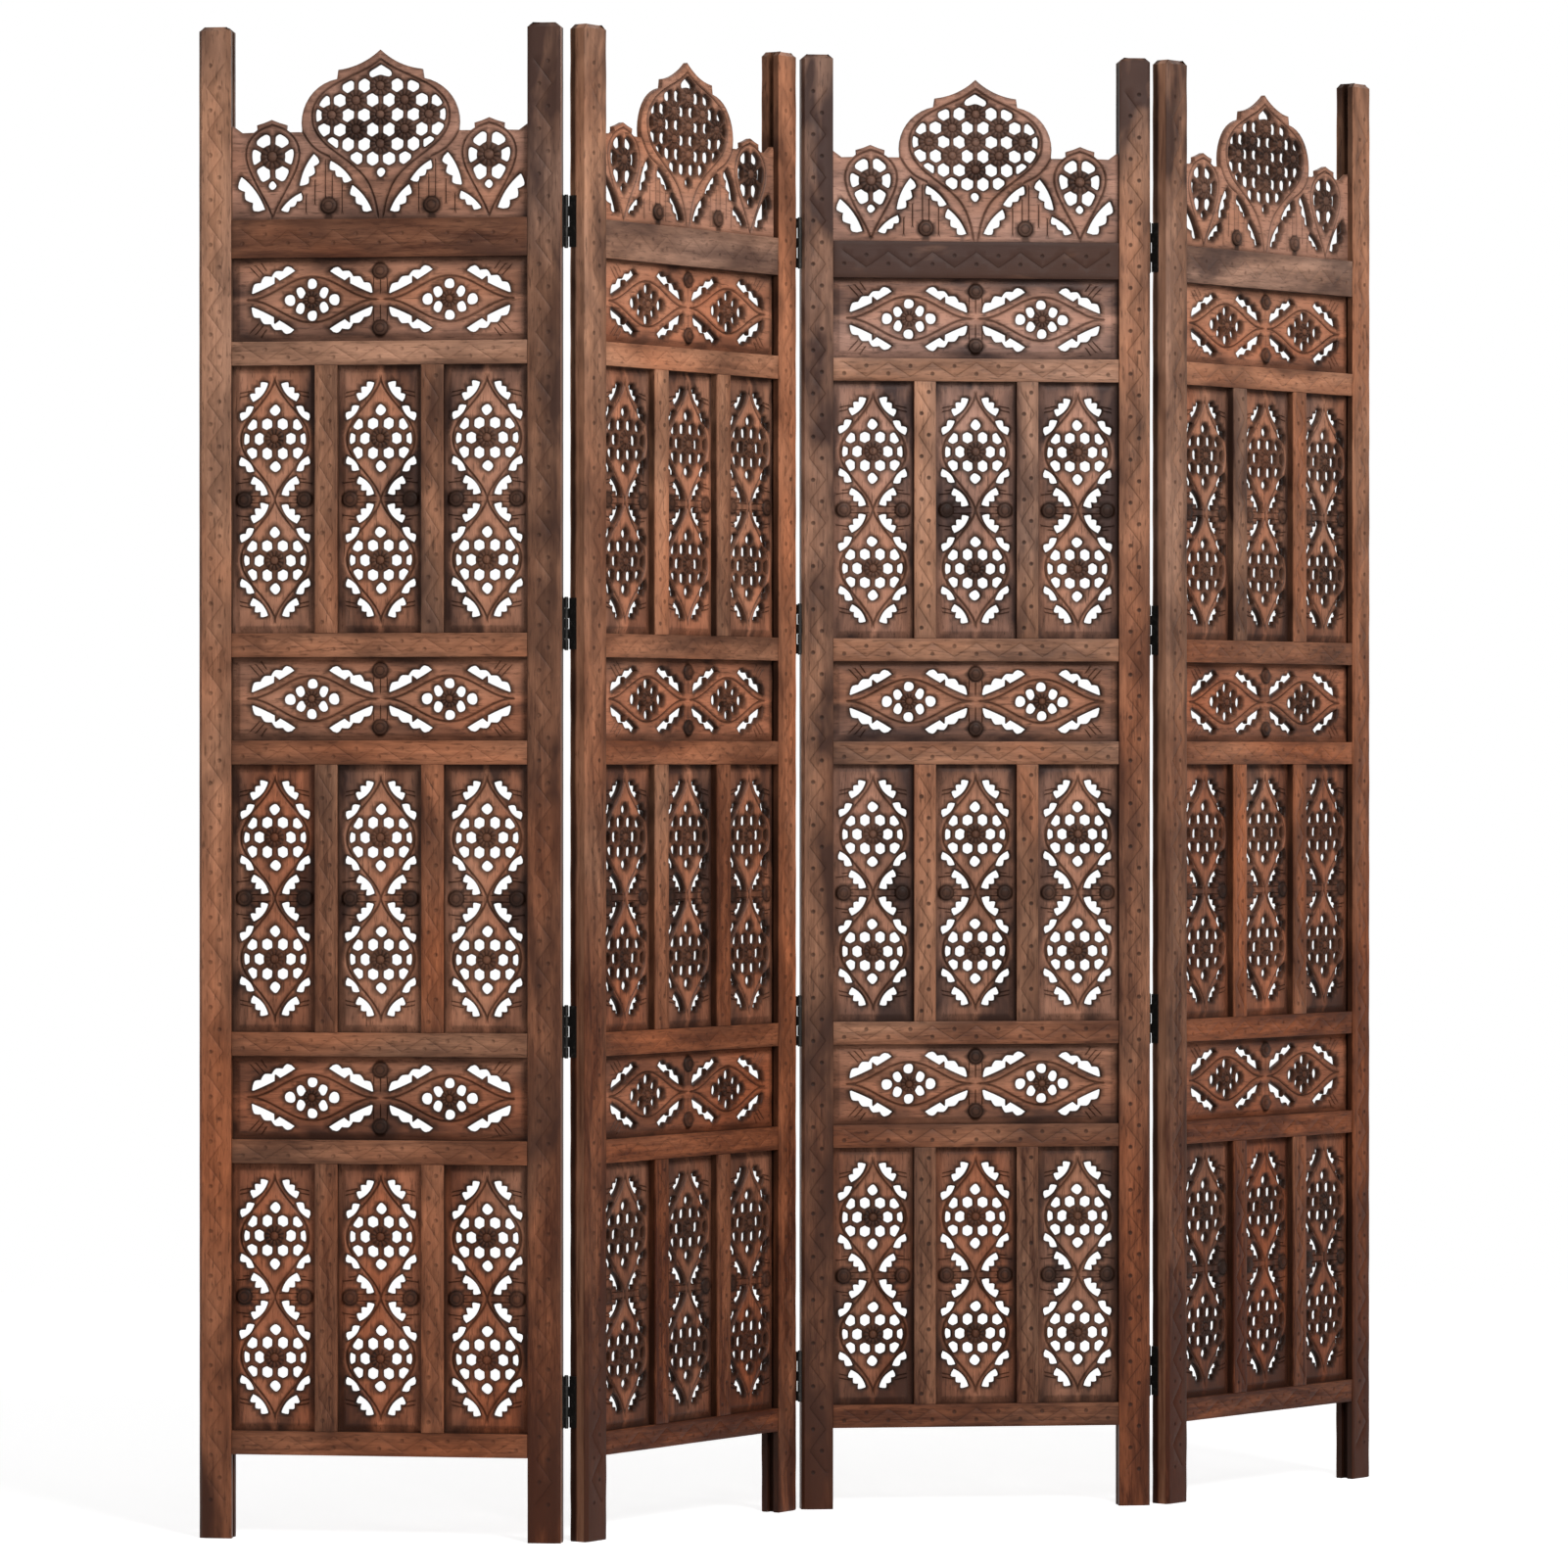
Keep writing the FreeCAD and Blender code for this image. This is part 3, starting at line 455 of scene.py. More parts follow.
def drawn(line):
    """A line of the crest as the knife follows it, with its corners cut back."""
    path = np.asarray(line, float)
    for _ in range(LINE_ROUNDS):
        near = path[:-1] * (1.0 - CORNER_CUT) + path[1:] * CORNER_CUT
        far = path[:-1] * CORNER_CUT + path[1:] * (1.0 - CORNER_CUT)
        between = np.stack([near, far], axis=1).reshape(-1, 2)
        path = np.concatenate([path[:1], between[1:-1], path[-1:]])
    return resampled(path, CREST_STEP, False)


def beside(path, distance, closed):
    """A path moved sideways to its left."""
    path = np.asarray(path, float)
    ahead = np.roll(path, -1, 0) - np.roll(path, 1, 0) if closed else np.gradient(path, axis=0)
    ahead /= np.linalg.norm(ahead, axis=1, keepdims=True) + TINY
    return path + distance * np.stack([-ahead[:, 1], ahead[:, 0]], axis=1)


def circle(count):
    """The corners of a regular polygon on the unit circle."""
    angles = np.arange(count) * math.tau / count
    return np.stack([np.cos(angles), np.sin(angles)], axis=1)


def rectangle(width, height):
    """A rectangle's corners about the origin, the way that keeps its inside on the left."""
    across, up = width / 2, height / 2
    return [(-across, -up), (across, -up), (across, up), (-across, up)]


def border_gap(width, height, places):
    """How far each place lies inside a rectangle about the origin."""
    across, up = np.abs(places).T
    return np.minimum(width / 2 - across, height / 2 - up)


def arc_points(start, bow, stop, count):
    """Points on the circle through three points, after the first of them."""
    (ax, ay), (bx, by), (cx, cy) = start, bow, stop
    twice = 2.0 * (ax * (by - cy) + bx * (cy - ay) + cx * (ay - by))
    a2, b2, c2 = ax * ax + ay * ay, bx * bx + by * by, cx * cx + cy * cy
    centre_x = (a2 * (by - cy) + b2 * (cy - ay) + c2 * (ay - by)) / twice
    centre_y = (a2 * (cx - bx) + b2 * (ax - cx) + c2 * (bx - ax)) / twice
    first, middle, last = (
        math.atan2(y - centre_y, x - centre_x) for x, y in (start, bow, stop)
    )
    turn = (last - first) % math.tau
    if (middle - first) % math.tau > turn:
        turn -= math.tau
    radius = math.dist(start, (centre_x, centre_y))
    angles = [first + turn * (part + 1) / count for part in range(count)]
    return [
        (centre_x + radius * math.cos(angle), centre_y + radius * math.sin(angle))
        for angle in angles
    ]


def distance_to(paths, places):
    """The distance from each place to the nearest of some (path, closed) pairs."""
    starts, runs = [], []
    for path, closed in paths:
        count = len(path) if closed else len(path) - 1
        starts.append(path[:count])
        runs.append((np.roll(path, -1, axis=0) - path)[:count])
    start, run = np.concatenate(starts), np.concatenate(runs)
    square = (run * run).sum(axis=1) + TINY
    nearest = np.empty(len(places))
    for low in range(0, len(places), PLACES_AT_ONCE):
        some = slice(low, low + PLACES_AT_ONCE)
        lead = places[some, None, :] - start
        share = np.clip((lead * run).sum(axis=2) / square, 0.0, 1.0)
        gap = lead - share[..., None] * run
        nearest[some] = np.sqrt((gap * gap).sum(axis=2).min(axis=1))
    return nearest


def inside(path, places):
    """Which places lie inside a closed path."""
    x, y = places.T
    odd = np.zeros(len(places), bool)
    x_last, y_last = path[-1]
    for x_next, y_next in path:
        rise = y_next - y_last
        if rise:
            crossing = x_last + (y - y_last) * (x_next - x_last) / rise
            odd ^= ((y_next > y) != (y_last > y)) & (x < crossing)
        x_last, y_last = x_next, y_next
    return odd


def mirrored(across, up):
    """The signs that repeat a place on both sides of the middle lines that it is off."""
    sides = (1, -1) if across else (1,)
    ways = (1, -1) if up else (1,)
    return [(side, way) for side in sides for way in ways]


def oval_hole(centre, width, height, turn, squareness, rng):
    """A hand-cut hole between round and square."""
    angles = np.arange(OVAL_POINTS) * math.tau / OVAL_POINTS
    across, up = np.cos(angles), np.sin(angles)
    power = 2.0 / squareness
    x = width / 2 * np.sign(across) * np.abs(across) ** power
    y = height / 2 * np.sign(up) * np.abs(up) ** power
    phase = rng.uniform(0.0, math.tau, 2)
    wobble = 1.0 + HAND_WOBBLE * (np.cos(2 * angles + phase[0]) + np.cos(3 * angles + phase[1]))
    lean = math.radians(turn + rng.normal(0.0, HAND_LEAN))
    shift = rng.normal(0.0, HAND_SHIFT, 2)
    turned_x = (x * math.cos(lean) - y * math.sin(lean)) * wobble
    turned_y = (x * math.sin(lean) + y * math.cos(lean)) * wobble
    return np.stack([turned_x, turned_y], axis=1) + np.asarray(centre, float) + shift


def inner_rim(path, gap, middle):
    """A rim line moved in by a gap, towards a middle."""
    lines = [beside(path, way * gap, False) for way in (1, -1)]
    return min(lines, key=lambda line: np.hypot(*(line - middle).T).mean())


def cell_hole(cell, comb, rng):
    """A hole sawn in one cell of a honeycomb, out to its webs, the rosettes and the rims.

    Rays from inside the cell stop at the first of these, and start a little towards the
    middle of the honeycomb, inside its rims. Its rosettes are (centre, radius).
    """
    angles = (np.arange(CELL_POINTS) + rng.uniform()) * math.tau / CELL_POINTS
    rays = np.stack([np.cos(angles), np.sin(angles)], axis=1)
    lead = comb.middle - cell
    origin = cell + lead * (CELL_LEAD / max(CELL_LEAD, np.linalg.norm(lead)))
    for _ in range(CELL_PASSES):
        reach = np.full(CELL_POINTS, np.inf)
        for steps in CELL_SIDES:
            towards = np.multiply(steps, comb.pitch)
            gap = np.linalg.norm(towards)
            for normal in (towards / gap, -towards / gap):
                room = (gap - comb.web) / 2 - normal @ (origin - cell)
                facing = rays @ normal
                far = room / np.maximum(facing, TINY)
                reach = np.where(facing > TINY, np.minimum(reach, far), reach)
        for centre, radius in comb.rosettes:
            towards = centre - origin
            along = rays @ towards
            half_chord = radius**2 - towards @ towards + along**2
            far = along - np.sqrt(np.maximum(half_chord, 0.0))
            met = (half_chord > 0.0) & (along > 0.0)
            reach = np.where(met, np.minimum(reach, far), reach)
        for rim in comb.rims:
            start, run = rim[:-1] - origin, np.diff(rim, axis=0)
            facing = rays[:, :1] * run[:, 1] - rays[:, 1:] * run[:, 0]
            facing = np.where(np.abs(facing) < TINY, TINY, facing)
            far = (start[:, 0] * run[:, 1] - start[:, 1] * run[:, 0]) / facing
            share = (start[:, 0] * rays[:, 1:] - start[:, 1] * rays[:, :1]) / facing
            far = np.where((share >= 0.0) & (share <= 1.0) & (far > 0.0), far, np.inf)
            reach = np.minimum(reach, far.min(axis=1))
        path = origin + rays * reach[:, None]
        origin = path.mean(axis=0)
    wobble = 1.0 - HAND_WOBBLE * (1.0 + np.cos(2 * angles + rng.uniform(0.0, math.tau)))
    path = origin + rays * (reach * wobble)[:, None]
    neighbours = np.roll(path, 1, 0) + CELL_SMOOTHING * path + np.roll(path, -1, 0)
    return neighbours / (CELL_SMOOTHING + 2.0)


def leaf_hole(first, last, middle, lobes, shares, barbed, rng):
    """A leaf-shaped hole: a belly towards middle, plain or barbed, and lobes away from it."""
    first = first + rng.normal(0.0, HAND_SHIFT, 2)
    last = last + rng.normal(0.0, HAND_SHIFT, 2)
    belly, crown, notch = shares
    chord = last - first
    span = np.linalg.norm(chord)
    out = np.array([chord[1], -chord[0]]) / span
    if out @ ((first + last) / 2 - middle) < 0:
        out = -out

    def station(share, rise):
        return first + chord * share + out * (rise * span)

    points = []
    for share in np.linspace(*LEAF_BELLY_SPAN, LEAF_BELLY_POINTS):
        points.append(station(share, -belly * 4.0 * share * (1.0 - share) - LEAF_BELLY_BACK))
        if barbed and abs(share - BARB_PLACE) < BARB_REACH:
            points += [station(BARB_PLACE - tip, BARB_HEIGHT) for tip in BARB_TIP]
    for lobe in range(lobes):
        size = crown * (1.0 + rng.normal(0.0, LOBE_SPREAD))
        for part, rise in LOBE_STEPS:
            share = (lobe + part) / lobes
            base = notch * (1.0 - abs(2.0 * share - 1.0) ** 4)
            points.append(station(LEAF_CROWN_START + LEAF_CROWN_SPAN * share, base + size * rise))
    return np.array(points)


def counter_clockwise(path):
    """The path, turned round if need be so that its inside is on its left."""
    x, y = path.T
    area = (x * np.roll(y, -1) - y * np.roll(x, -1)).sum()
    return path if area > 0 else path[::-1]


def rosette_shape(share, angle):
    """A flower of rounded petals about a domed eye."""
    eye = np.sqrt(np.clip(1.0 - (share / EYE_SHARE) ** 2, 0.0, 1.0))
    out = np.clip((share - EYE_SHARE) / (1.0 - EYE_SHARE), 0.0, 1.0)
    petal = 0.5 + 0.5 * np.cos(PETAL_COUNT * angle)
    ridge = PETAL_VALLEY + (1.0 - PETAL_VALLEY) * np.sqrt(petal)
    rise = PETAL_RISE * np.sin(math.pi * out) ** PETAL_POWER * ridge
    in_eye = share < EYE_SHARE
    height = np.where(in_eye, EYE_RISE * eye, rise)
    # The eye is paler as a painted highlight, and the petal gaps darker as painted shade
    dark = ROSETTE_STAIN + np.where(in_eye, -EYE_PAINTED_HIGHLIGHT * eye, PETAL_GAP_PAINTED_SHADE * (1.0 - petal))
    ring = np.exp(-(((share - EYE_SHARE) / EYE_RING_WIDTH) ** 2))
    return height - EYE_RING_DEPTH * ring, np.maximum(dark, EYE_RING_STAIN * ring)


def button_shape(share, angle):
    """A round knob with a shallow ring cut near its foot."""
    dome = np.sqrt(np.clip(1.0 - share**2, 0.0, 1.0))
    ring = np.exp(-(((share - BUTTON_RING_PLACE) / BUTTON_RING_WIDTH) ** 2))
    height = BUTTON_RISE * dome - BUTTON_RING_DEPTH * ring
    return height, BUTTON_STAIN + BUTTON_RING_DARKER * np.maximum(share**4, ring)


def dot_shape(share, angle):
    """A drilled dot."""
    return -DOT_DEPTH * (1.0 - share**2), DOT_STAIN * (1.0 - DOT_EDGE_PALER * share)


ROUND_SHAPES = {"rosette": rosette_shape, "button": button_shape, "dot": dot_shape}


class Carving:
    """A piece's face as it is carved: outline, holes, cut lines and rounds.

    edge and burn are functions of places on it. They give how far its edge drops with the
    stain and painted shading there, and how likely burnt patches are, with painted shade
    near a board's border.
    """

    def __init__(self, outline, step, fill, edge, burn):
        self.outline = resampled(outline, step)
        self.fill = fill
        self.edge = edge
        self.burn = burn
        self.holes, self.cuts, self.rounds, self.loops = [], [], [], []

    def hole(self, path):
        """Cuts a hole, kept clear of the rosettes that are already there."""
        for spot in self.rounds:
            away = path - spot.centre
            reach = np.hypot(*away.T)[:, None]
            path = spot.centre + away * np.maximum(1.0, (spot.radius + HOLE_CLEARANCE) / reach)
        self.holes.append(counter_clockwise(path))

    def cut(self, path, half_width, depth, stain=CUT_STAIN):
        """Cuts a line with a knife of that width and depth."""
        self.cuts.append((path, (half_width, depth, stain)))

    def round(self, kind, centre, radius):
        """Adds a rosette, a button or a drilled dot."""
        self.rounds.append(Round(kind, np.asarray(centre, float), radius))

    def guides(self):
        """Every path that the mesh has edges along: (path, closed)."""
        yield self.outline, True
        yield from self.loops
        for path in self.holes:
            yield path, True
            for share in RIM_STEPS:
                yield beside(path, -RIM_WIDTH * share, True), True
        for path, (half_width, _, _) in self.cuts:
            yield path, False
            left, right = beside(path, half_width, False), beside(path, -half_width, False)
            yield np.concatenate([left, right[::-1]]), True
        for kind, centre, radius in self.rounds:
            for share, count in ROUND_RINGS[kind]:
                yield centre + radius * share * circle(count), True

    def triangles(self):
        """The face's points and triangles, without its holes."""
        points, edges = [], []
        for path, closed in self.guides():
            first = len(points)
            points += [tuple(point) for point in path]
            count = len(path) if closed else len(path) - 1
            edges += [(first + part, first + (part + 1) % len(path)) for part in range(count)]
        points += [tuple(spot.centre) for spot in self.rounds]
        low, high = self.outline.min(axis=0), self.outline.max(axis=0)
        counts = np.maximum(1, np.round((high - low) / self.fill)).astype(int)
        columns, rows = (
            np.linspace(low[axis], high[axis], counts[axis] + 1)[1:-1] for axis in (0, 1)
        )
        if len(columns) and len(rows):
            grid = np.stack(np.meshgrid(columns, rows), axis=2).reshape(-1, 2)
            taken = np.array(points)
            least = (self.fill * FILL_CLEARANCE) ** 2
            clear = [((taken - spot) ** 2).sum(axis=1).min() > least for spot in grid]
            points += [tuple(spot) for spot in grid[np.array(clear)]]
        made = delaunay_2d_cdt([Vector(point) for point in points], edges, [], 0, SAME_POINT)
        places = np.array([tuple(place) for place in made[0]])
        faces = np.array(made[2])
        middles = places[faces].mean(axis=1)
        keep = inside(self.outline, middles)
        for path in self.holes:
            near = keep & (np.abs(middles - path.mean(axis=0)).max(axis=1) < HOLE_REACH)
            keep[near] &= ~inside(path, middles[near])
        faces = faces[keep]
        used = np.unique(faces)
        renumbered = np.zeros(len(places), int)
        renumbered[used] = np.arange(len(used))
        return places[used], renumbered[faces]

    def relief(self, places):
        """How far each place stands up, and how dark the stain and painted shading are on it and in its
        marks.
        """
        x, y = places.T
        first, first_lean, second, second_lean = WAVE_LENGTHS
        waves = np.sin(x / first + y / first_lean) + np.sin(y / second - x / second_lean)
        drop, stain = self.edge(places)
        height = WAVE_RISE * waves - drop
        marks = np.zeros(len(places))
        if self.holes:
            gap = distance_to([(path, True) for path in self.holes], places)
            height -= RIM_DROP * np.clip(1.0 - gap / RIM_WIDTH, 0.0, 1.0) ** 2
            # A dark ring round each hole: stain and the painted shade of its wall
            stain = np.maximum(stain, RIM_STAIN_AND_SHADE * np.exp(-((gap / RIM_FADE) ** 4)))
        for knife in sorted({knife for path, knife in self.cuts}):
            half_width, depth, dark = knife
            paths = [(path, False) for path, used in self.cuts if used == knife]
            gap = distance_to(paths, places)
            height -= depth * np.clip(1.0 - gap / half_width, 0.0, 1.0)
            marks = np.maximum(marks, dark * np.clip(CUT_SPREAD - gap / half_width, 0.0, 1.0))
        for spot in self.rounds:
            away = places - spot.centre
            share = np.hypot(*away.T) / spot.radius
            angle = np.arctan2(away[:, 1], away[:, 0])
            within = share < 1.0 + SAME_POINT
            rise, dark = ROUND_SHAPES[spot.kind](share[within], angle[within])
            height[within] = rise + np.where(spot.kind == "dot", height[within], 0.0)
            marks[within] = np.maximum(marks[within], dark)
        return height, stain, marks


class Board(Carving):
    """A pierced board's face, drawn at its pattern's size and fitted to its window."""

    def __init__(self, outline, step, edge, burn, fit, rng):
        super().__init__(outline, step, FILL_STEP, edge, burn)
        self.fit = fit
        self.rng = rng

    def pierce(self, path):
        """Cuts a hole that is drawn at the pattern's size."""
        self.hole(path * self.fit)

    def line(self, path):
        """One of the deep lines about a medallion."""
        self.cut(path * self.fit, OGEE_HALF_WIDTH, OGEE_DEPTH)

    def chip(self, row, signs):
        """A short straight cut, from a row of its two ends."""
        path = np.array([row[:2], row[2:]]) * signs * self.fit
        self.cut(resampled(path, FILL_STEP, False), CHIP_HALF_WIDTH, CHIP_DEPTH)

    def raised(self, kind, centre, radius):
        """A rosette or a button."""
        self.round(kind, centre * self.fit, radius)

    def oval(self, centre, shape):
        """A hole between round and square."""
        self.pierce(oval_hole(centre, *shape, self.rng))

    def cells(self, comb, rows, both_ways):
        """Cells of a honeycomb and their mirror images, across it and if asked for up it."""
        for across, up in rows:
            for side, rise in mirrored(across, both_ways and up):
                cell = comb.middle + np.multiply((side * across, rise * up), comb.pitch)
                self.pierce(cell_hole(cell, comb, self.rng))

    def leaf(self, row, centre, signs, towards, shares, barbed=False):
        """A leaf hole, from a row of its two tips about a centre and its number of lobes."""
        first, last = (centre + np.multiply(signs, tip) for tip in (row[:2], row[2:4]))
        self.pierce(leaf_hole(first, last, towards, row[4], shares, barbed, self.rng))


class Solid:
    """A closed mesh in a leaf's own frame, in millimetres: (u, v, z) with v to the back."""

    def __init__(self, leaf_name):
        self.slope = HEIGHT_LIGHT + LEAF_TONES[leaf_name][2]
        self.points, self.faces = [], []
        self.stain, self.burn, self.grain, self.tone = [], [], [], []
        self.count = 0

    def add(self, shape, grain_axes, tone, rng):
        """Adds a piece whose grain runs along the first of two axes of the leaf's frame."""
        points = shape.points
        offset = rng.uniform(0.0, GRAIN_SHIFT, 3)
        depth_axis = 3 - sum(grain_axes)
        low, high = points.min(axis=0), points.max(axis=0)
        lean = rng.uniform(-BURN_LEAN, BURN_LEAN, 3) * (1.0, 0.0, 1.0)
        leaning = ((2.0 * points - low - high) / (high - low)) @ lean
        rise = points[:, 2] / TONE_HEIGHT - TONE_MIDDLE_SHARE
        tones = np.tile(tone, (len(points), 1))
        tones[:, 0] += self.slope * rise
        tones[:, 1] = np.clip(tones[:, 1] - HEIGHT_RED * rise, -1.0, 1.0)
        self.points.append(points)
        self.faces += [tuple(corner + self.count for corner in face) for face in shape.faces]
        self.stain.append(shape.stain)
        self.burn.append(shape.burn + tone[2] + leaning)
        self.grain.append(points[:, [*grain_axes, depth_axis]] * MM + offset)
        self.tone.append(tones)
        self.count += len(points)


def border_edges(faces):
    """The edges that only one triangle has, with its way round kept."""
    edges = np.concatenate([faces[:, [0, 1]], faces[:, [1, 2]], faces[:, [2, 0]]])
    key = np.sort(edges, axis=1)
    order = key[:, 0] * (key.max() + 1) + key[:, 1]
    _, index, count = np.unique(order, return_index=True, return_counts=True)
    return edges[index[count == 1]]


class Face:
    """A carved face ready to be set: its points, triangles, relief, stain with painted shading, and
    burn.
    """

    def __init__(self, carving):
        self.places, self.triangles = carving.triangles()
        self.height, self.stain, self.marks = carving.relief(self.places)
        self.burn = carving.burn(self.places)
        self.border = border_edges(self.triangles)

    def stained_and_shaded(self, marks):
        """The stain and painted shading, with the marks as dark as they are asked for."""
        return np.where(self.marks > 0.0, np.maximum(self.stain, self.marks * marks), self.stain)

    def front_and_back(self, u, z, front, back):
        """The points of two faces carved alike."""
        fore = np.stack([u, front - self.height, z], axis=1)
        aft = np.stack([u, back + self.height, z], axis=1)
        return [fore, aft]

    def board(self, centre, front, back, flips):
        """A board carved alike on both faces."""
        count = len(self.places)
        across, up = (self.places * np.array(flips)).T
        points = self.front_and_back(centre[0] + across, centre[1] + up, front, back)
        turned = flips[0] * flips[1] < 0
        front_faces = self.triangles[:, ::-1] if turned else self.triangles
        start, stop = (self.border[:, ::-1] if turned else self.border).T
        walls = np.stack([stop, start, start + count, stop + count], axis=1)
        faces = front_faces.tolist() + (front_faces[:, ::-1] + count).tolist() + walls.tolist()
        stain, burn = (np.tile(values, 2) for values in (self.stained_and_shaded(1.0), self.burn))
        return Shape(np.concatenate(points), faces, stain, burn)

    def member(self, marks, place, front, back, profile):
        """A frame piece: both faces carved, and side walls that follow a profile in between.

        place turns the face's points into (u, z). profile gives the wall's points at a place,
        as (u, v, z, stain and painted shading), from front to back, or none where the wall is
        capped instead.
        """
        count = len(self.places)
        u, z = place(self.places)
        points = self.front_and_back(u, z, front, back)
        stains = [self.stained_and_shaded(marks)] * 2
        faces = self.triangles.tolist() + (self.triangles[:, ::-1] + count).tolist()
        total = 2 * count
        strings = {}
        for corner in np.unique(self.border):
            rows = profile(u[corner], z[corner])
            strings[corner] = [corner, *range(total, total + len(rows)), corner + count]
            if rows:
                points.append(np.array([row[:3] for row in rows]))
                stains.append(np.array([row[3] for row in rows]))
                total += len(rows)
        caps = {}
        for start, stop in self.border.tolist():
            near, far = strings[start], strings[stop]
            level = round(z[start], 3)
            if level == round(z[stop], 3) and min(len(near), len(far)) == 2:
                caps.setdefault(level, []).append((start, stop))
                continue
            for row in range(len(near) - 1):
                faces.append((far[row], near[row], near[row + 1], far[row + 1]))
        for edges in caps.values():
            follow = dict(edges)
            chain = [next(corner for corner in follow if corner not in follow.values())]
            while chain[-1] in follow:
                chain.append(follow[chain[-1]])
            cap = chain[::-1] + strings[chain[0]][1:-1]
            cap += [corner + count for corner in chain] + strings[chain[-1]][1:-1][::-1]
            faces.append(tuple(cap))
        burn = np.concatenate([self.burn, self.burn, np.full(total - 2 * count, WALL_BURN)])
        return Shape(np.concatenate(points), faces, np.concatenate(stains), burn)


# Settings


def length(name, description, default):
    """A length property, in metres."""
    return FloatProperty(name=name, description=description, default=default, unit="LENGTH")


def colour(name, description, default):
    """A colour property."""
    return FloatVectorProperty(
        name=name, description=description, default=default, subtype="COLOR", size=3, min=0.0, max=1.0
    )


def keys(group):
    """The names of a property group's own settings."""
    return [name for name in group.bl_rna.properties.keys() if name not in ("rna_type", "name")]


class ScreenSizes(bpy.types.PropertyGroup):
    """Sizes of a leaf's frame and boards."""

    leaf_width: length("Leaf Width", "Width of one leaf", 0.400)
    leaf_thickness: length("Leaf Thickness", "Thickness of the stiles", 0.025)
    stile_width: length("Stile Width", "Width of an upright post", 0.036)
    stile_rise: length("Stile Rise", "Height of the posts over the top rail", 0.211)
    stile_chamfer: length("Stile Chamfer", "Bevel on a post's outer edges", 0.0034)
    tip_inset: length("Tip Inset", "How far a post's top slopes in", 0.006)
    tip_drop: length("Tip Drop", "Height of the slope at a post's top", 0.005)
    leg_height: length("Leg Height", "Height of the legs", 0.092)
    rail_height: length("Rail Height", "Height of a bottom or cross rail", 0.026)
    top_rail_height: length("Top Rail Height", "Height of the top rail", 0.042)
    rail_inset: length("Rail Inset", "How far rails lie behind the posts", 0.001)
    tile_height: length("Tile Height", "Height of a row of tall tiles", 0.292)
    band_height: length("Band Height", "Height of a long band", 0.091)
    muntin_width: length("Muntin Width", "Width of a bar between tiles", 0.025)
    board_thickness: length("Board Thickness", "Thickness of the pierced boards", 0.008)
    groove_depth: length("Groove Depth", "Depth of the grooves in the posts", 0.007)
    groove_width: length("Groove Width", "Width of the grooves in the posts", 0.0084)


class ScreenFinish(bpy.types.PropertyGroup):
    """Colours of the wood, the stain and the iron, with the painted shade and light that some of them
    also give.
    """

    frame_dark: colour("Frame Dark", "Dark grain of the frame", (0.056, 0.0215, 0.013))
    frame_pale: colour("Frame Pale", "Pale grain of the frame", (0.518, 0.258, 0.153))
    panel_dark: colour("Panel Dark", "Dark grain of the boards", (0.070, 0.027, 0.016))
    panel_pale: colour("Panel Pale", "Pale grain of the boards", (0.468, 0.213, 0.127))
    frame_burnt: colour("Frame Burnt", "Burnt patches on the frame", (0.057, 0.027, 0.0187))
    # The panels' burnt colour also paints the shade of the frame's recess along a board's border
    panel_burnt: colour("Panel Burnt", "Burnt patches on the boards", (0.056, 0.0285, 0.0212))
    # The stain colour is also the colour of painted shade in recesses, on walls and behind a post's
    # outer side
    stain: colour("Stain", "Dark stain in the carving", (0.015, 0.0062, 0.0036))
    # The worn colour is also the painted light on the front of a post's outer side
    worn_and_lit: colour("Worn", "Worn edges", (0.46, 0.224, 0.131))
    iron: colour("Iron", "Blackened iron", (0.012, 0.011, 0.010))
    iron_worn: colour("Iron Worn", "Iron where the black is rubbed", (0.060, 0.052, 0.046))


class StageSettings(bpy.types.PropertyGroup):
    """The camera, the floor and the light."""

    camera_place: FloatVectorProperty(
        name="Camera Place",
        description="Where the camera stands",
        default=(-0.0284, -7.8873, 0.8494),
        subtype="TRANSLATION",
        size=3,
    )
    camera_pitch: FloatProperty(
        name="Camera Pitch",
        description="How far the camera looks down",
        default=math.radians(0.194),
        subtype="ANGLE",
    )
    lens: FloatProperty(
        name="Lens", description="Focal length of the camera, in millimetres", default=159.45
    )
    floor_colour: colour("Floor", "Colour of the floor", (0.92, 0.92, 0.92))
    floor_reach: length("Floor Reach", "Half the width of the floor", 3.2)
    floor_glow: FloatProperty(
        name="Floor Glow", description="How far the floor is lifted towards white in view", default=0.76
    )
    key_power: FloatProperty(
        name="Key Power", description="Power of the key light", default=105.0, unit="POWER"
    )
    fill_power: FloatProperty(
        name="Fill Power", description="Power of the fill light", default=20.0, unit="POWER"
    )
    sky_strength: FloatProperty(
        name="Sky Strength", description="Strength of the light from all round", default=0.19
    )


def layout(sizes):
    """Where the rails and windows come, from the legs up, and how deep the pieces lie."""
    plan = SimpleNamespace(rails=[], tile_rows=[], bands=[])
    plan.left = sizes.stile_width
    right = sizes.leaf_width - plan.left
    plan.opening = right - plan.left
    plan.middle = (plan.left + right) / 2
    plan.tile_width = (plan.opening - 2 * sizes.muntin_width) / 3
    low = sizes.leg_height
    for _ in range(3):
        for spans, height in (
            (plan.rails, sizes.rail_height),
            (plan.tile_rows, sizes.tile_height),
            (plan.rails, sizes.rail_height),
            (plan.bands, sizes.band_height),
        ):
            spans.append((low, low + height))
            low += height
    plan.top_rail = (low, low + sizes.top_rail_height)
    plan.top = plan.top_rail[1] + sizes.stile_rise
    plan.bar_depth = (sizes.rail_inset, sizes.leaf_thickness - sizes.rail_inset)
    front = (sizes.leaf_thickness - sizes.board_thickness) / 2
    plan.board_depth = (front, front + sizes.board_thickness)
    return plan


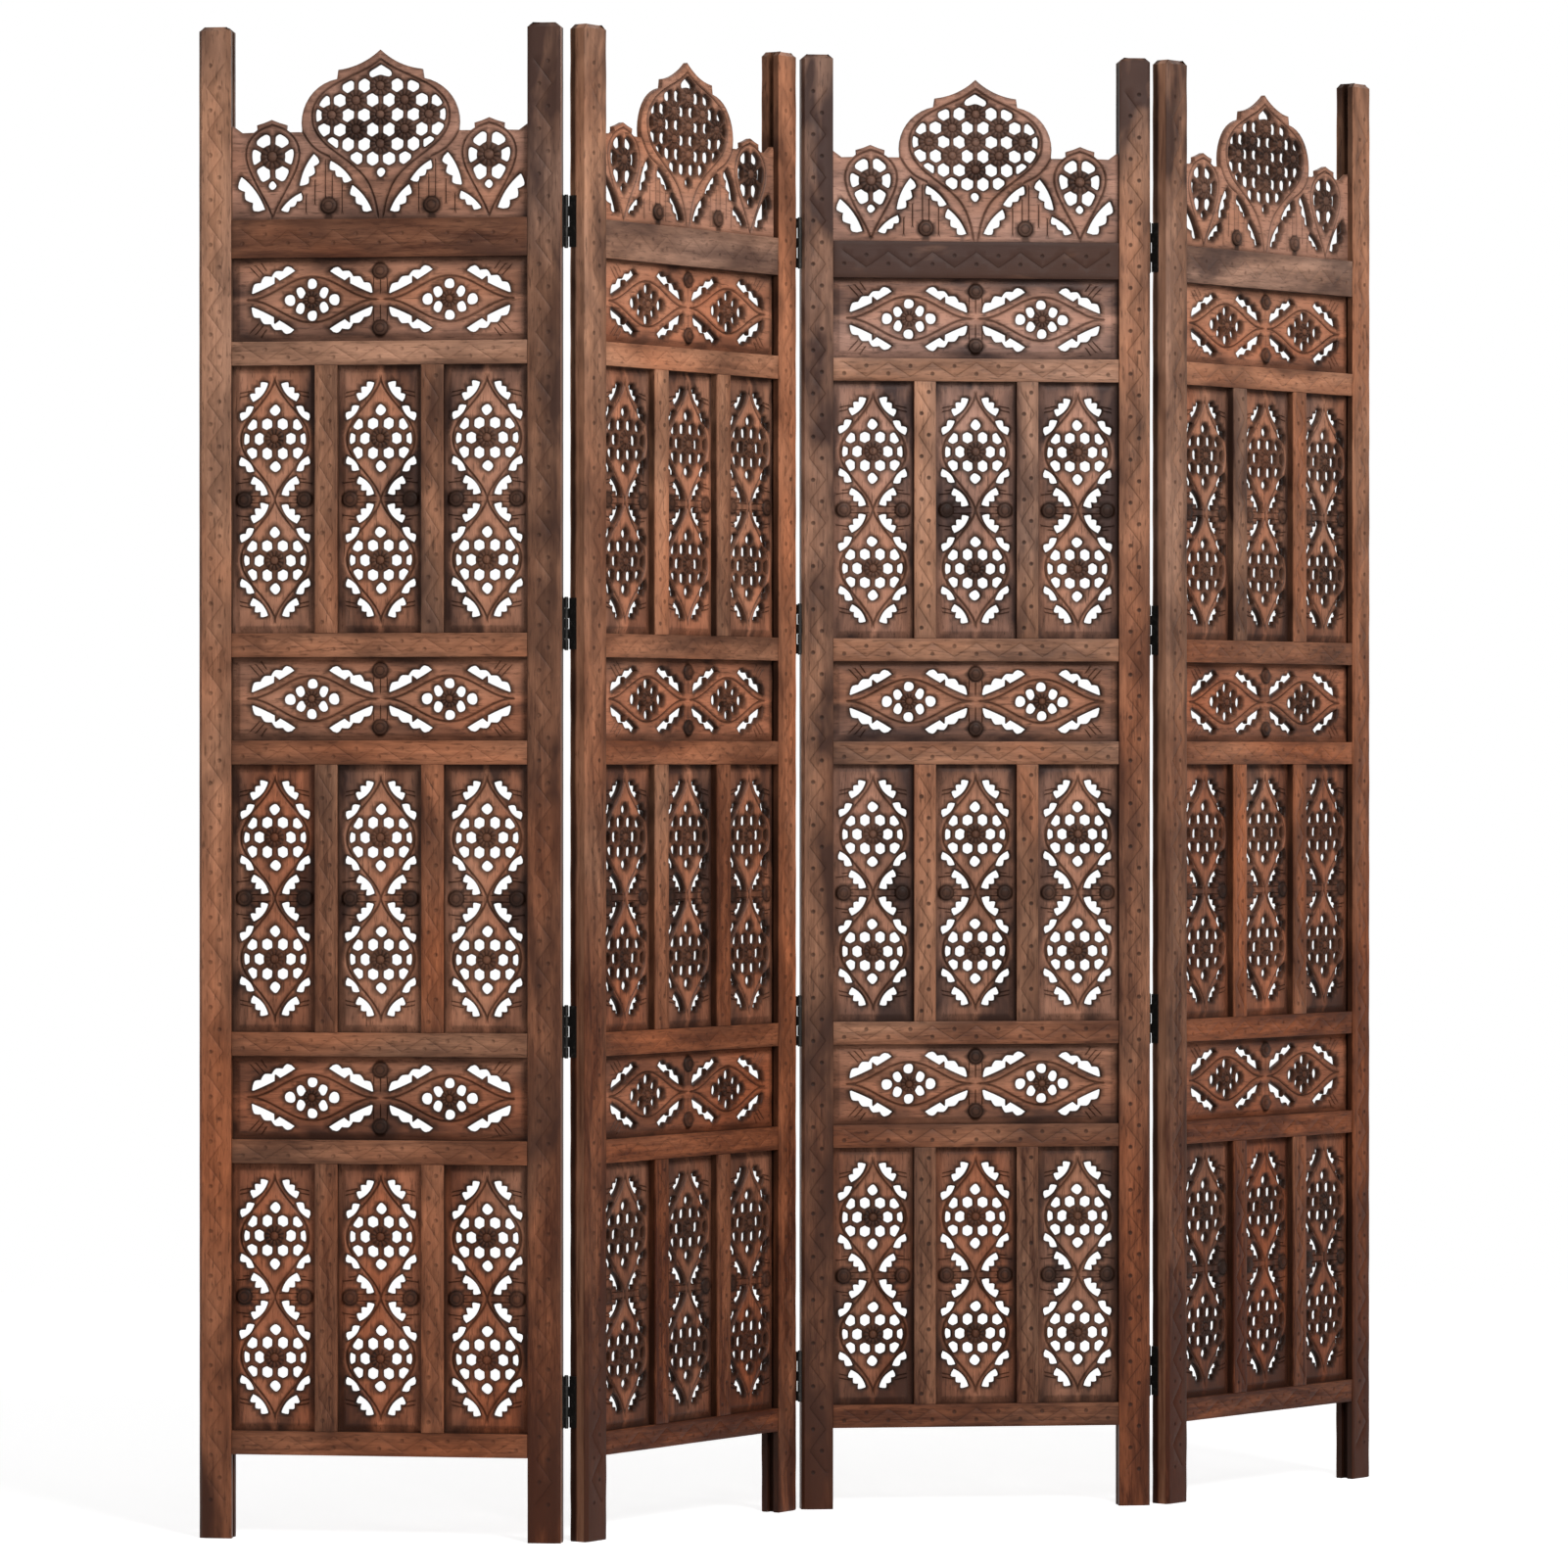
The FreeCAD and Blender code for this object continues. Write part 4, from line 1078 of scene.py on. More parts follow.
def settings(context):
    """The lengths in millimetres, the finish and the layout of a leaf."""
    group = context.scene.screen_sizes
    sizes = SimpleNamespace(**{name: getattr(group, name) / MM for name in keys(group)})
    return sizes, context.scene.screen_finish, layout(sizes)


# Materials


class NodeTree:
    """A tree of shader nodes, and the kinds of node that the finishes are made of."""

    def __init__(self, tree):
        self.nodes, self.links = tree.nodes, tree.links

    def feed(self, node, sockets):
        """Gives a node's inputs by name or number: another socket, a number, vector or colour."""
        for key, value in sockets.items():
            socket = node.inputs[key]
            if isinstance(value, bpy.types.NodeSocket):
                self.links.new(value, socket)
            else:
                socket.default_value = (*value, 1.0) if socket.type == "RGBA" else value

    def node(self, kind, sockets):
        """A new node with some of its inputs given."""
        node = self.nodes.new(kind)
        self.feed(node, sockets)
        return node

    def math(self, operation, first, second, clamp=False):
        """One step of reckoning with two values, each a number or a socket."""
        node = self.node("ShaderNodeMath", {0: first, 1: second})
        node.operation, node.use_clamp = operation, clamp
        return node.outputs[0]

    def scaled(self, value, factor, offset):
        """A value times a factor, plus an offset."""
        return self.math("ADD", self.math("MULTIPLY", value, factor), offset)

    def mixed(self, share, first, second, blend="MIX"):
        """Two colours mixed, each a colour or a socket."""
        node = self.node("ShaderNodeMix", {"Factor": share})
        node.data_type, node.blend_type = "RGBA", blend
        ends = [number for number, socket in enumerate(node.inputs) if socket.type == "RGBA"]
        self.feed(node, dict(zip(ends, (first, second))))
        return next(socket for socket in node.outputs if socket.type == "RGBA")

    def noise(self, places, stretch, detail, roughness, distortion):
        """Noise on stretched places: stretch is waves to the metre along each axis."""
        waves = self.node("ShaderNodeVectorMath", {0: places, 1: stretch})
        waves.operation = "MULTIPLY"
        sockets = {"Vector": waves.outputs[0], "Scale": 1.0, "Detail": detail}
        sockets |= {"Roughness": roughness, "Distortion": distortion}
        return self.node("ShaderNodeTexNoise", sockets).outputs["Fac"]

    def spread(self, value, low, high):
        """A value spread so that low becomes 0 and high becomes 1."""
        sockets = {"Value": value, "From Min": low, "From Max": high}
        return self.node("ShaderNodeMapRange", sockets).outputs["Result"]

    def bump(self, height, strength, distance):
        """A normal that follows a height, in metres."""
        sockets = {"Strength": strength, "Distance": distance, "Height": height}
        return self.node("ShaderNodeBump", sockets).outputs["Normal"]

    def carved(self, name, output="Fac"):
        """One of the carving's own attributes."""
        node = self.nodes.new("ShaderNodeAttribute")
        node.attribute_name = name
        return node.outputs[output]

    def seen_directly(self):
        """1 for rays that show the background: from the camera, in gloss and through glass."""
        path = self.nodes.new("ShaderNodeLightPath").outputs
        seen = self.math("MAXIMUM", path["Is Camera Ray"], path["Is Glossy Ray"])
        return self.math("MAXIMUM", seen, path["Is Transmission Ray"])


def fresh_material(name):
    """A new material, its node tree and its shader."""
    material = bpy.data.materials.new(name)
    material.use_nodes = True
    tree = NodeTree(material.node_tree)
    return material, tree, tree.nodes["Principled BSDF"]


def wood(slot, finish):
    """Stained and waxed wood: grain, burnt patches, dark carving, worn edges and pores.

    Painted shade lies in recesses and along board borders, painted light on the front of the
    posts' outer sides, and painted sheen in the tan tint.
    """
    name = f"{slot}_stained"
    if name in bpy.data.materials:
        return bpy.data.materials[name]
    part = slot.removesuffix("_wood")
    dark, pale, burnt_colour = (getattr(finish, f"{part}_{key}") for key in ("dark", "pale", "burnt"))
    material, tree, shader = fresh_material(name)
    grain = tree.carved("grain", "Vector")
    stain = tree.carved("stain")
    tone = tree.node("ShaderNodeSeparateXYZ", {0: tree.carved("tone", "Vector")}).outputs

    figure, streak, fibre, patch = (
        tree.noise(grain, *field) for field in (FIGURE, STREAK, FIBRE, PATCH)
    )
    share = tone["X"]
    for field, weight in zip((figure, streak, fibre), GRAIN_SHARES):
        part_share = tree.math("MULTIPLY", tree.spread(field, *GRAIN_SPAN), weight)
        share = tree.math("ADD", share, part_share)
    share = tree.math("ADD", share, GRAIN_LIFT, clamp=True)
    base = tree.mixed(share, dark, pale)

    flecks = tree.spread(tree.noise(grain, *FLECK), *FLECK_SPAN)
    base = tree.mixed(tree.math("MULTIPLY", flecks, FLECK_SHARE), base, finish.stain)

    # Burnt patches, with painted shade along the boards' borders
    burnt = tree.scaled(tree.spread(patch, *PATCH_SPAN), PATCH_SHARE, tree.carved("burn"))
    burnt = tree.math("SUBTRACT", burnt, BURN_START, clamp=True)
    base = tree.mixed(burnt, base, burnt_colour)

    swing = tree.math("SUBTRACT", tree.spread(tree.noise(grain, *HUE), *GRAIN_SPAN), 0.5)
    hue = tree.scaled(swing, HUE_SWING, tone["Y"])
    # Negative redness mixes in the tan tint, which on leaf 3 and on the top rails of leaves 2 and 4 is
    # painted sheen
    for way, tint in ((-1.0, TAN_AND_SHEEN_TINT), (1.0, RED_TINT)):
        share = tree.math("MULTIPLY", hue, way, clamp=True)
        base = tree.mixed(share, base, tree.mixed(1.0, base, tint, "MULTIPLY"))

    # Paler where worn, and painted light on the front of a post's outer side
    worn_and_lit = tree.math("MULTIPLY", stain, -1.0, clamp=True)
    worn_and_lit = tree.math("MULTIPLY", worn_and_lit, tree.spread(streak, *WEAR_SPAN), clamp=True)
    base = tree.mixed(worn_and_lit, base, finish.worn_and_lit)

    # Dark stain, with painted shade on walls, in recesses and along board borders
    uneven = tree.math("ADD", tree.spread(patch, *STAIN_SPAN), STAIN_LIFT)
    darkened = tree.math("MULTIPLY", stain, uneven, clamp=True)
    base = tree.mixed(darkened, base, finish.stain)

    pores = tree.bump(tree.math("ADD", fibre, streak), *WOOD_BUMP)
    rough = tree.scaled(streak, *WOOD_ROUGHNESS)
    tree.feed(shader, {"Base Color": base, "Roughness": rough, "Normal": pores})
    tree.feed(shader, {"Specular IOR Level": WOOD_SPECULAR})
    return material


def hinge_iron(finish):
    """Blackened iron, rubbed in places."""
    material, tree, shader = fresh_material("hinge_iron_blackened")
    places = tree.nodes.new("ShaderNodeTexCoord").outputs["Object"]
    rubbed, specks = (tree.noise(places, *field) for field in (RUB, SPECK))
    base = tree.mixed(tree.spread(rubbed, *RUB_SPAN), finish.iron, finish.iron_worn)
    rough = tree.scaled(rubbed, *IRON_ROUGHNESS)
    pits = tree.bump(specks, *IRON_BUMP)
    tree.feed(shader, {"Base Color": base, "Roughness": rough, "Normal": pits})
    tree.feed(shader, {"Metallic": IRON_METALLIC})
    return material


# Carved faces


def inset_loops(width, height, insets, step):
    """Rectangles inside a board's edge."""
    boxes = [rectangle(width - 2 * inset, height - 2 * inset) for inset in insets]
    return [(resampled(box, step), True) for box in boxes]


def window_board(window, pattern, levels, outside, rng):
    """An empty board for a window, with its fielded border.

    levels say how likely burnt patches are on it, with painted shade of the frame's recess
    near its border. outside tells how far a place of the pattern lies outside the medallions.
    """
    width, height = window
    fit = np.array([width / pattern[0], height / pattern[1]])
    level, outside_more, border_burn_and_shade, border_reach = levels

    def edge(places):
        gap = border_gap(width, height, places)
        drop = BORDER_DROP * (1.0 - ease((gap - BORDER_FLAT) / BORDER_SLOPE))
        foot = np.exp(-((np.maximum(gap, 0.0) / BORDER_FADE) ** 2))
        crease = np.exp(-(((gap - BORDER_FLAT - BORDER_SLOPE) / CREASE_WIDTH) ** 2))
        bare = np.exp(-(((gap - BORDER_FLAT - BORDER_SLOPE / 2) / BARE_WIDTH) ** 2))
        # The border's foot holds stain and the painted shade of the frame's recess
        return drop, BORDER_STAIN_AND_SHADE * foot + CREASE_STAIN * crease + EDGE_WEAR * bare

    def burn(places):
        out = ease(outside(*(places / fit).T) / MEDALLION_FADE)
        near = 1.0 - ease(border_gap(width, height, places) / border_reach)
        # The rise near the border paints the shade of the frame's recess as well as burn
        return level + outside_more * out + border_burn_and_shade * near

    outline = rectangle(width + 2 * JOINT_LAP, height + 2 * JOINT_LAP)
    board = Board(outline, FILL_STEP, edge, burn, fit, rng)
    board.loops += inset_loops(width, height, (BORDER_FLAT, BORDER_FLAT + BORDER_SLOPE), FILL_STEP)
    return board


def ogee(z):
    """How far the tile's ogee line stands from the middle line, at heights over the waist."""
    reach = np.abs(z)
    share = 1.0 - np.abs(reach - TILE_OGEE_HALF_LENGTH) / TILE_OGEE_HALF_LENGTH
    share = np.clip(share, 0.0, 1.0)
    wave = (1.0 - np.cos(math.pi * share)) / 2
    bow = np.sin(math.pi * share / 2)
    return TILE_OGEE_HALF_WIDTH * ((1.0 - TILE_OGEE_ROUNDING) * wave + TILE_OGEE_ROUNDING * bow)


def tile_face(window, rng):
    """A tall tile: two medallions in a crossing ogee line, with leaves around them."""
    board = window_board(window, TILE_PATTERN, TILE_BURN_AND_BORDER_SHADE, lambda x, z: np.abs(x) - ogee(z), rng)
    z = np.linspace(0.0, 2 * TILE_OGEE_HALF_LENGTH, TILE_OGEE_POINTS)
    for way in (1, -1):
        middle = np.array([0.0, way * TILE_MEDALLION_UP])
        board.raised("rosette", middle, TILE_ROSETTE_RADIUS)
        lines = [np.stack([side * ogee(z), way * z], axis=1) for side in (1, -1)]
        rims = [inner_rim(line, TILE_RIM_GAP, middle) for line in lines]
        rosettes = [(middle, TILE_ROSETTE_RADIUS + TILE_ROSETTE_GAP)]
        comb = Honeycomb(middle, TILE_PITCH, TILE_WEB, rosettes, rims)
        board.cells(comb, TILE_CELLS, True)
        for rise in (1, -1):
            board.oval(middle + (0.0, rise * TILE_TIP_UP), TILE_TIP_SHAPE)
        for row in TILE_LEAVES:
            for signs in mirrored(1, 1):
                board.leaf(row, middle, signs, middle, TILE_LEAF_SHARES)
        for line in lines:
            board.line(line)
    for signs in mirrored(1, 1):
        for row in TILE_CHIPS:
            board.chip(row, signs)
    for side in (1, -1):
        board.raised("button", (side * TILE_BUTTON_ACROSS, 0.0), TILE_BUTTON_RADIUS)
    return Face(board)


def lens(x):
    """How far the band's lens line stands from its middle line, at distances from the lens."""
    share = np.clip(1.0 - np.abs(x) / BAND_LENS_HALF_LENGTH, 0.0, 1.0)
    return BAND_LENS_HALF_HEIGHT * (1.0 - np.cos(math.pi * share)) / 2


def band_face(window, rng):
    """A long band: two lens-shaped medallions side by side, with leaves around them."""

    def outside(x, z):
        return np.abs(z) - lens(np.abs(x) - BAND_LENS_ACROSS)

    board = window_board(window, BAND_PATTERN, BAND_BURN_AND_BORDER_SHADE, outside, rng)
    x = np.linspace(-BAND_LENS_HALF_LENGTH, BAND_LENS_HALF_LENGTH, BAND_LENS_POINTS)
    for half in (1, -1):
        middle = np.array([half * BAND_LENS_ACROSS, 0.0])
        board.raised("rosette", middle, BAND_ROSETTE_RADIUS)
        for across, up, width, height, turn, squareness in BAND_OVALS:
            for side, rise in mirrored(across, up):
                shape = (width, height, turn * side * rise, squareness)
                board.oval(middle + (side * across, rise * up), shape)
        for signs in mirrored(1, 1):
            board.leaf(BAND_LEAF, middle, signs, middle, BAND_LEAF_SHARES, True)
        for way in (1, -1):
            board.line(np.stack([x, way * lens(x)], axis=1) + middle)
    for row in BAND_CHIPS:
        for signs in mirrored(row[0], 1):
            board.chip(row, signs)
    for way in (1, -1):
        board.raised("button", (0.0, way * BAND_BUTTON_UP), BAND_BUTTON_RADIUS)
    return Face(board)


def crest_outline():
    """The crest's outline from its foot round over the apex, its inside on the left."""
    half = [CREST_APEX]
    for *bow, x, z in CREST_EDGE:
        half += arc_points(half[-1], bow, (x, z), CREST_ARC_POINTS) if bow else [(x, z)]
    shoulder_x, shoulder_z = half[-1]
    edge_x = shoulder_x + JOINT_LAP
    foot = [(-edge_x, -JOINT_LAP), (edge_x, -JOINT_LAP), (edge_x, shoulder_z)]
    left = [(-x, z) for x, z in half[1:]]
    return foot + half[::-1] + left + [(-edge_x, shoulder_z)]


def crest_face(width, rng):
    """The crest: a domed medallion of rosettes between two small arches."""
    fit = np.array([width / CREST_WIDTH, 1.0])
    outline = np.array(crest_outline()) * fit
    skyline = [(outline[2:], False)]

    def edge(places):
        gap = distance_to(skyline, places)
        drop = ARRIS * np.clip(1.0 - gap / ARRIS, 0.0, 1.0) ** 2
        foot = np.exp(-((places[:, 1] / BORDER_FADE) ** 2))
        # The crest's foot by the top rail holds stain and the painted shade of the recess
        return drop, np.maximum(SKYLINE_STAIN * np.exp(-gap), BORDER_STAIN_AND_SHADE * foot)

    def burn(places):
        low = 1.0 - ease(places[:, 1] / CREST_FOOT_REACH)
        sides = ease((np.abs(places[:, 0]) - CREST_SIDES_START) / CREST_SIDES_REACH)
        return CREST_BURN + CREST_BURN_MORE * low + CREST_BURN_MORE * sides

    board = Board(outline, CREST_STEP, edge, burn, fit, rng)
    main = np.array(CREST_MIDDLE)
    dome = drawn(CREST_INNER_LINE)
    rims = [inner_rim(dome * (side, 1.0), CREST_RIM_GAP, main) for side in (1, -1)]
    rosettes = []
    for across, up in CREST_ROSETTES:
        for side, _ in mirrored(across, 0):
            spot = main + np.multiply((side * across, up), CREST_PITCH)
            board.raised("rosette", spot, CREST_ROSETTE_RADIUS)
            rosettes.append((spot, CREST_ROSETTE_RADIUS + HOLE_CLEARANCE))
    apex = np.array(CREST_APEX_CELL)
    board.cells(Honeycomb(apex, CREST_APEX_PITCH, CREST_WEB, rosettes, rims), ((0, 0),), False)
    board.oval(CREST_TIP, CREST_TIP_SHAPE)
    board.cells(Honeycomb(main, CREST_PITCH, CREST_WEB, rosettes, rims), CREST_CELLS, False)
    for side in (1, -1):
        signs = (side, 1.0)
        middle = np.multiply(signs, CREST_SIDE)
        board.raised("rosette", middle, CREST_SIDE_ROSETTE_RADIUS)
        rosettes = [(middle, CREST_SIDE_ROSETTE_RADIUS + HOLE_CLEARANCE)]
        outer_half = np.multiply(signs, CREST_TEARDROP)
        inner_half = outer_half * (-1.0, 1.0) + (2 * middle[0], 0.0)
        teardrop = [drawn(outer_half), drawn(inner_half)]
        rims = [inner_rim(line, CREST_SIDE_RIM_GAP, middle) for line in teardrop]
        comb = Honeycomb(middle, CREST_SIDE_PITCH, CREST_SIDE_WEB, rosettes, rims)
        board.cells(comb, CREST_SIDE_CELLS, False)
        board.oval(middle + CREST_SIDE_TIP, CREST_SIDE_TIP_SHAPE)
        for rows, towards in ((CREST_OUTER_LEAVES, middle), (CREST_INNER_LEAVES, main)):
            for row in rows:
                board.leaf(row, np.zeros(2), signs, towards, CREST_LEAF_SHARES)
        board.raised("button", np.multiply(signs, CREST_BUTTON), CREST_BUTTON_RADIUS)
        for line in (dome * signs, drawn(CREST_OUTER_LINE) * signs, *teardrop):
            board.line(line)
        for row in CREST_FLUTES:
            board.chip(row, signs)
    return Face(board)


def zigzag(carving, width, run, upright, up=0.0):
    """A cut zigzag along a frame piece with a dot in each of its bays."""
    swing = min(width / 2 - ZIGZAG_MARGIN, ZIGZAG_SWING)
    turns = max(2, round(run / ZIGZAG_HALF_PITCH))
    along = [(turn + 0.5) * (run / turns) - run / 2 for turn in range(turns)]
    across = [(-1) ** turn * swing for turn in range(turns)]
    order = (0, 1) if upright else (1, 0)
    lift = (0.0, up)
    path = resampled(np.array([across, along])[list(order)].T, FRAME_STEP, False)
    carving.cut(path + lift, ZIGZAG_HALF_WIDTH, ZIGZAG_DEPTH, ZIGZAG_STAIN)
    for dot in zip(np.array(across) * -DOT_SWING_SHARE, along):
        carving.round("dot", np.array([dot[axis] for axis in order]) + lift, DOT_RADIUS)


def rounded(gap):
    """How far a rounded arris falls away, at distances from the edge."""
    share = np.clip(1.0 - gap / ARRIS, 0.0, 1.0)
    return ARRIS * (1.0 - np.sqrt(1.0 - share**2))


def edge_stain(gap):
    """Stain that gathers along a frame piece's edges, rubbed off at the arris."""
    gathered = FRAME_EDGE_STAIN * np.exp(-((gap / FRAME_EDGE_FADE) ** 2))
    return gathered + EDGE_WEAR * np.exp(-((gap / ARRIS) ** 2))


def bar_face(across, up, upright):
    """A rail's or muntin's face: rounded edges, a zigzag and dots."""

    def edge(places):
        gap = border_gap(across, up, places)
        return rounded(gap), edge_stain(gap)

    def burn(places):
        return np.full(len(places), BAR_BURN)

    carving = Carving(rectangle(across, up), FRAME_STEP, FRAME_STEP, edge, burn)
    insets = (ARRIS * ARRIS_STEP, ARRIS, FRAME_EDGE_FADE)
    carving.loops += inset_loops(across, up, insets, FRAME_STEP)
    width, run = (across, up) if upright else (up, across)
    zigzag(carving, width, run, upright)
    return Face(carving)


def bar(face, marks, centre, depth):
    """A rail or muntin from its face, with side walls darkened by stain and painted shade."""
    front, back = depth

    def place(places):
        return centre[0] + places[:, 0], centre[1] + places[:, 1]

    def profile(u, z):
        # Side walls: stain and the painted shade of the recess
        return [(u, v, z, WALL_STAIN_AND_SHADE) for v in (front + BAR_SHOULDER, back - BAR_SHOULDER)]

    return face.member(marks, place, front, back, profile)


def stile_face(sizes, height):
    """A stile's face as seen on the left of a leaf, its outer edge at -x."""
    width, chamfer, inset = sizes.stile_width, sizes.stile_chamfer, sizes.tip_inset
    across = width / 2
    shoulder = height - sizes.tip_drop

    def edge(places):
        x, z = places.T
        narrowing = inset * np.clip((z - shoulder) / sizes.tip_drop, 0.0, 1.0)
        outer = chamfer - np.clip(x + across - narrowing, 0.0, chamfer)
        drops = (outer, rounded(across - narrowing - x), rounded(z), narrowing)
        gap = np.minimum(np.maximum(x + across - chamfer, 0.0), across - x)
        return np.maximum.reduce(drops), edge_stain(gap)

    def burn(places):
        ends = np.minimum(places[:, 1], height - places[:, 1])
        return STILE_BURN + STILE_END_BURN * (1.0 - ease(ends / STILE_END_REACH))

    outline = [
        (-across, 0.0),
        (across, 0.0),
        (across, shoulder),
        (across - inset, height),
        (inset - across, height),
        (-across, shoulder),
    ]
    carving = Carving(outline, FRAME_STEP, FRAME_STEP, edge, burn)
    lines = [start - across for start in (chamfer, chamfer + FRAME_EDGE_FADE)]
    lines += [across - start for start in (FRAME_EDGE_FADE, ARRIS, ARRIS * ARRIS_STEP)]
    runs = [[(x, ARRIS), (x, shoulder)] for x in lines]
    runs += [[(-across, z), (across, z)] for z in (ARRIS, shoulder)]
    carving.loops += [(resampled(run, FRAME_STEP, False), False) for run in runs]
    zigzag(carving, width, height - ZIGZAG_PLAIN_ENDS, True, height / 2)
    return Face(carving)


def stile(face, marks, sizes, height, at_right):
    """A stile, with its groove along the inner edge."""
    across, thickness = sizes.stile_width / 2, sizes.leaf_thickness
    middle = sizes.leaf_width - across if at_right else across
    side = -1 if at_right else 1
    groove_low = (thickness - sizes.groove_width) / 2
    groove_high = thickness - groove_low
    groove_u = middle + side * (across - sizes.groove_depth)
    side_low = sizes.stile_chamfer + ARRIS
    lip = ARRIS + STILE_LIP
    shoulder = height - sizes.tip_drop

    def place(places):
        return middle + side * places[:, 0], places[:, 1]

    def profile(u, z):
        narrowing = sizes.tip_inset * max(0.0, z - shoulder) / sizes.tip_drop
        # The inner side and its groove: stain and the painted shade of the recess
        if abs(across - narrowing - side * (u - middle)) < NEAR:
            return [
                (u, lip, z, INNER_SIDE_STAIN_AND_SHADE),
                (u, groove_low, z, INNER_SIDE_STAIN_AND_SHADE),
                (groove_u, groove_low, z, GROOVE_STAIN_AND_SHADE),
                (groove_u, groove_high, z, GROOVE_STAIN_AND_SHADE),
                (u, groove_high, z, INNER_SIDE_STAIN_AND_SHADE),
                (u, thickness - lip, z, INNER_SIDE_STAIN_AND_SHADE),
            ]
        # The outer side: painted light in front, painted shade behind
        if abs(across - narrowing + side * (u - middle)) < NEAR:
            return [
                (u, side_low, z, SIDE_PAINTED_LIGHT),
                (u, thickness * SIDE_LIT_SHARE, z, SIDE_PAINTED_LIGHT),
                (u, thickness * SIDE_SHADED_SHARE, z, SIDE_BACK_PAINTED_SHADE),
                (u, thickness - side_low, z, SIDE_BACK_PAINTED_SHADE),
            ]
        return []

    shape = face.member(marks, place, 0.0, thickness, profile)
    if at_right:
        return shape._replace(faces=[corners[::-1] for corners in shape.faces])
    return shape


# Pieces


class Leaf:
    """Where one leaf stands, and how it is finished."""

    def __init__(self, name, sizes, finish):
        self.name = name
        self.finish = finish
        feet = {mount["name"]: np.array(mount["pos_m"]) for mount in frame["record"]["mounts"]}
        left, right = feet[f"{name}_left_foot"], feet[f"{name}_right_foot"]
        along = (right - left) / np.linalg.norm(right - left)
        inward = np.array([-along[1], along[0], 0.0])
        reach = sizes.leaf_width * MM / 2, sizes.leaf_thickness * MM / 2
        self.corner = (left + right) / 2 - along * reach[0] - inward * reach[1]
        self.axes = np.array([along, inward, [0.0, 0.0, 1.0]])

    def chance(self, node):
        """The same chance for a node in every run."""
        return np.random.default_rng([LEAVES.index(self.name)] + [ord(letter) for letter in node])

    def tone(self, level, spread, rng):
        """A piece's own lightness, redness and burning."""
        light = level[0] + LEAF_TONES[self.name][0] + rng.uniform(-spread, spread)
        red = level[1] + LEAF_TONES[self.name][1] + rng.uniform(-RED_SPREAD, RED_SPREAD)
        return (light, red, level[2] + rng.uniform(-spread, spread))

    def make(self, node, slot, grain_axes, pieces, rng):
        """One object for a node, riding on the leaf, from its pieces' shapes and tones."""
        solid = Solid(self.name)
        for shape, tone in pieces:
            solid.add(shape, grain_axes, tone, rng)
        mesh = bpy.data.meshes.new(f"carved_{self.name}_{node}")
        points = self.corner + (np.concatenate(solid.points) * MM) @ self.axes
        mesh.from_pydata(points.tolist(), [], solid.faces)
        for name, kind, field, values in (
            ("stain", "FLOAT", "value", solid.stain),
            ("burn", "FLOAT", "value", solid.burn),
            ("grain", "FLOAT_VECTOR", "vector", solid.grain),
            ("tone", "FLOAT_VECTOR", "vector", solid.tone),
        ):
            attribute = mesh.attributes.new(name, kind, "POINT")
            attribute.data.foreach_set(field, np.concatenate(values).astype(np.float32).ravel())
        mesh.shade_smooth()
        mesh.set_sharp_from_angle(angle=SHARP_ANGLE)
        mesh.materials.append(wood(slot, self.finish))
        piece = bpy.data.objects.new(mesh.name, mesh)
        bpy.context.scene.collection.objects.link(piece)
        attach(piece, self.name)
        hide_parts(f"{self.name}_{node}")


def leaves(sizes, finish):
    """Every leaf of the screen."""
    return [Leaf(name, sizes, finish) for name in LEAVES]


def kinds_of(make_face, window, count, seed):
    count = count
    return [make_face(window, np.random.default_rng(seed + kind)) for kind in range(count)]


def chosen_boards(leaf, faces, centres, depth, level, spread, rng):
    """Boards of a kind and a way round that chance picks: their shapes and tones."""
    for centre in centres:
        face = faces[rng.integers(len(faces))]
        flips = FLIPS[rng.integers(len(FLIPS))]
        yield face.board(centre, *depth, flips), leaf.tone(level, spread, rng)


class SCREEN_OT_stiles(bpy.types.Operator):
    """Carve the upright posts of every leaf"""

    bl_idname = "screen.make_stiles"
    bl_label = "Make Stiles"

    def execute(self, context):
        sizes, finish, plan = settings(context)
        face = stile_face(sizes, plan.top)
        for leaf in leaves(sizes, finish):
            for at_right, node in ((False, "left_stile"), (True, "right_stile")):
                shape = stile(face, LEAF_MARKS[leaf.name], sizes, plan.top, at_right)
                pieces = [(shape, FRAME_TONES[f"{leaf.name}_{node}"])]
                leaf.make(node, "frame_wood", UPRIGHT, pieces, leaf.chance(node))
        return {"FINISHED"}


class SCREEN_OT_rails(bpy.types.Operator):
    """Carve the bottom, cross and top rails of every leaf"""

    bl_idname = "screen.make_rails"
    bl_label = "Make Rails"

    def execute(self, context):
        sizes, finish, plan = settings(context)
        low_face = bar_face(plan.opening, sizes.rail_height, False)
        top_face = bar_face(plan.opening, sizes.top_rail_height, False)
        groups = (
            ("bottom_rail", low_face, plan.rails[:1]),
            ("cross_rails", low_face, plan.rails[1:]),
            ("top_rail", top_face, [plan.top_rail]),
        )

        def pieces(leaf, node, face, spans, rng):
            for span in spans:
                centre = (plan.middle, sum(span) / 2)
                tone = leaf.tone(RAIL_LEVEL, RAIL_SPREAD, rng)
                tone = FRAME_TONES.get(f"{leaf.name}_{node}", tone)
                yield bar(face, RAIL_MARKS[leaf.name], centre, plan.bar_depth), tone

        for leaf in leaves(sizes, finish):
            for node, face, spans in groups:
                rng = leaf.chance(node)
                leaf.make(node, "frame_wood", LYING, pieces(leaf, node, face, spans, rng), rng)
        return {"FINISHED"}


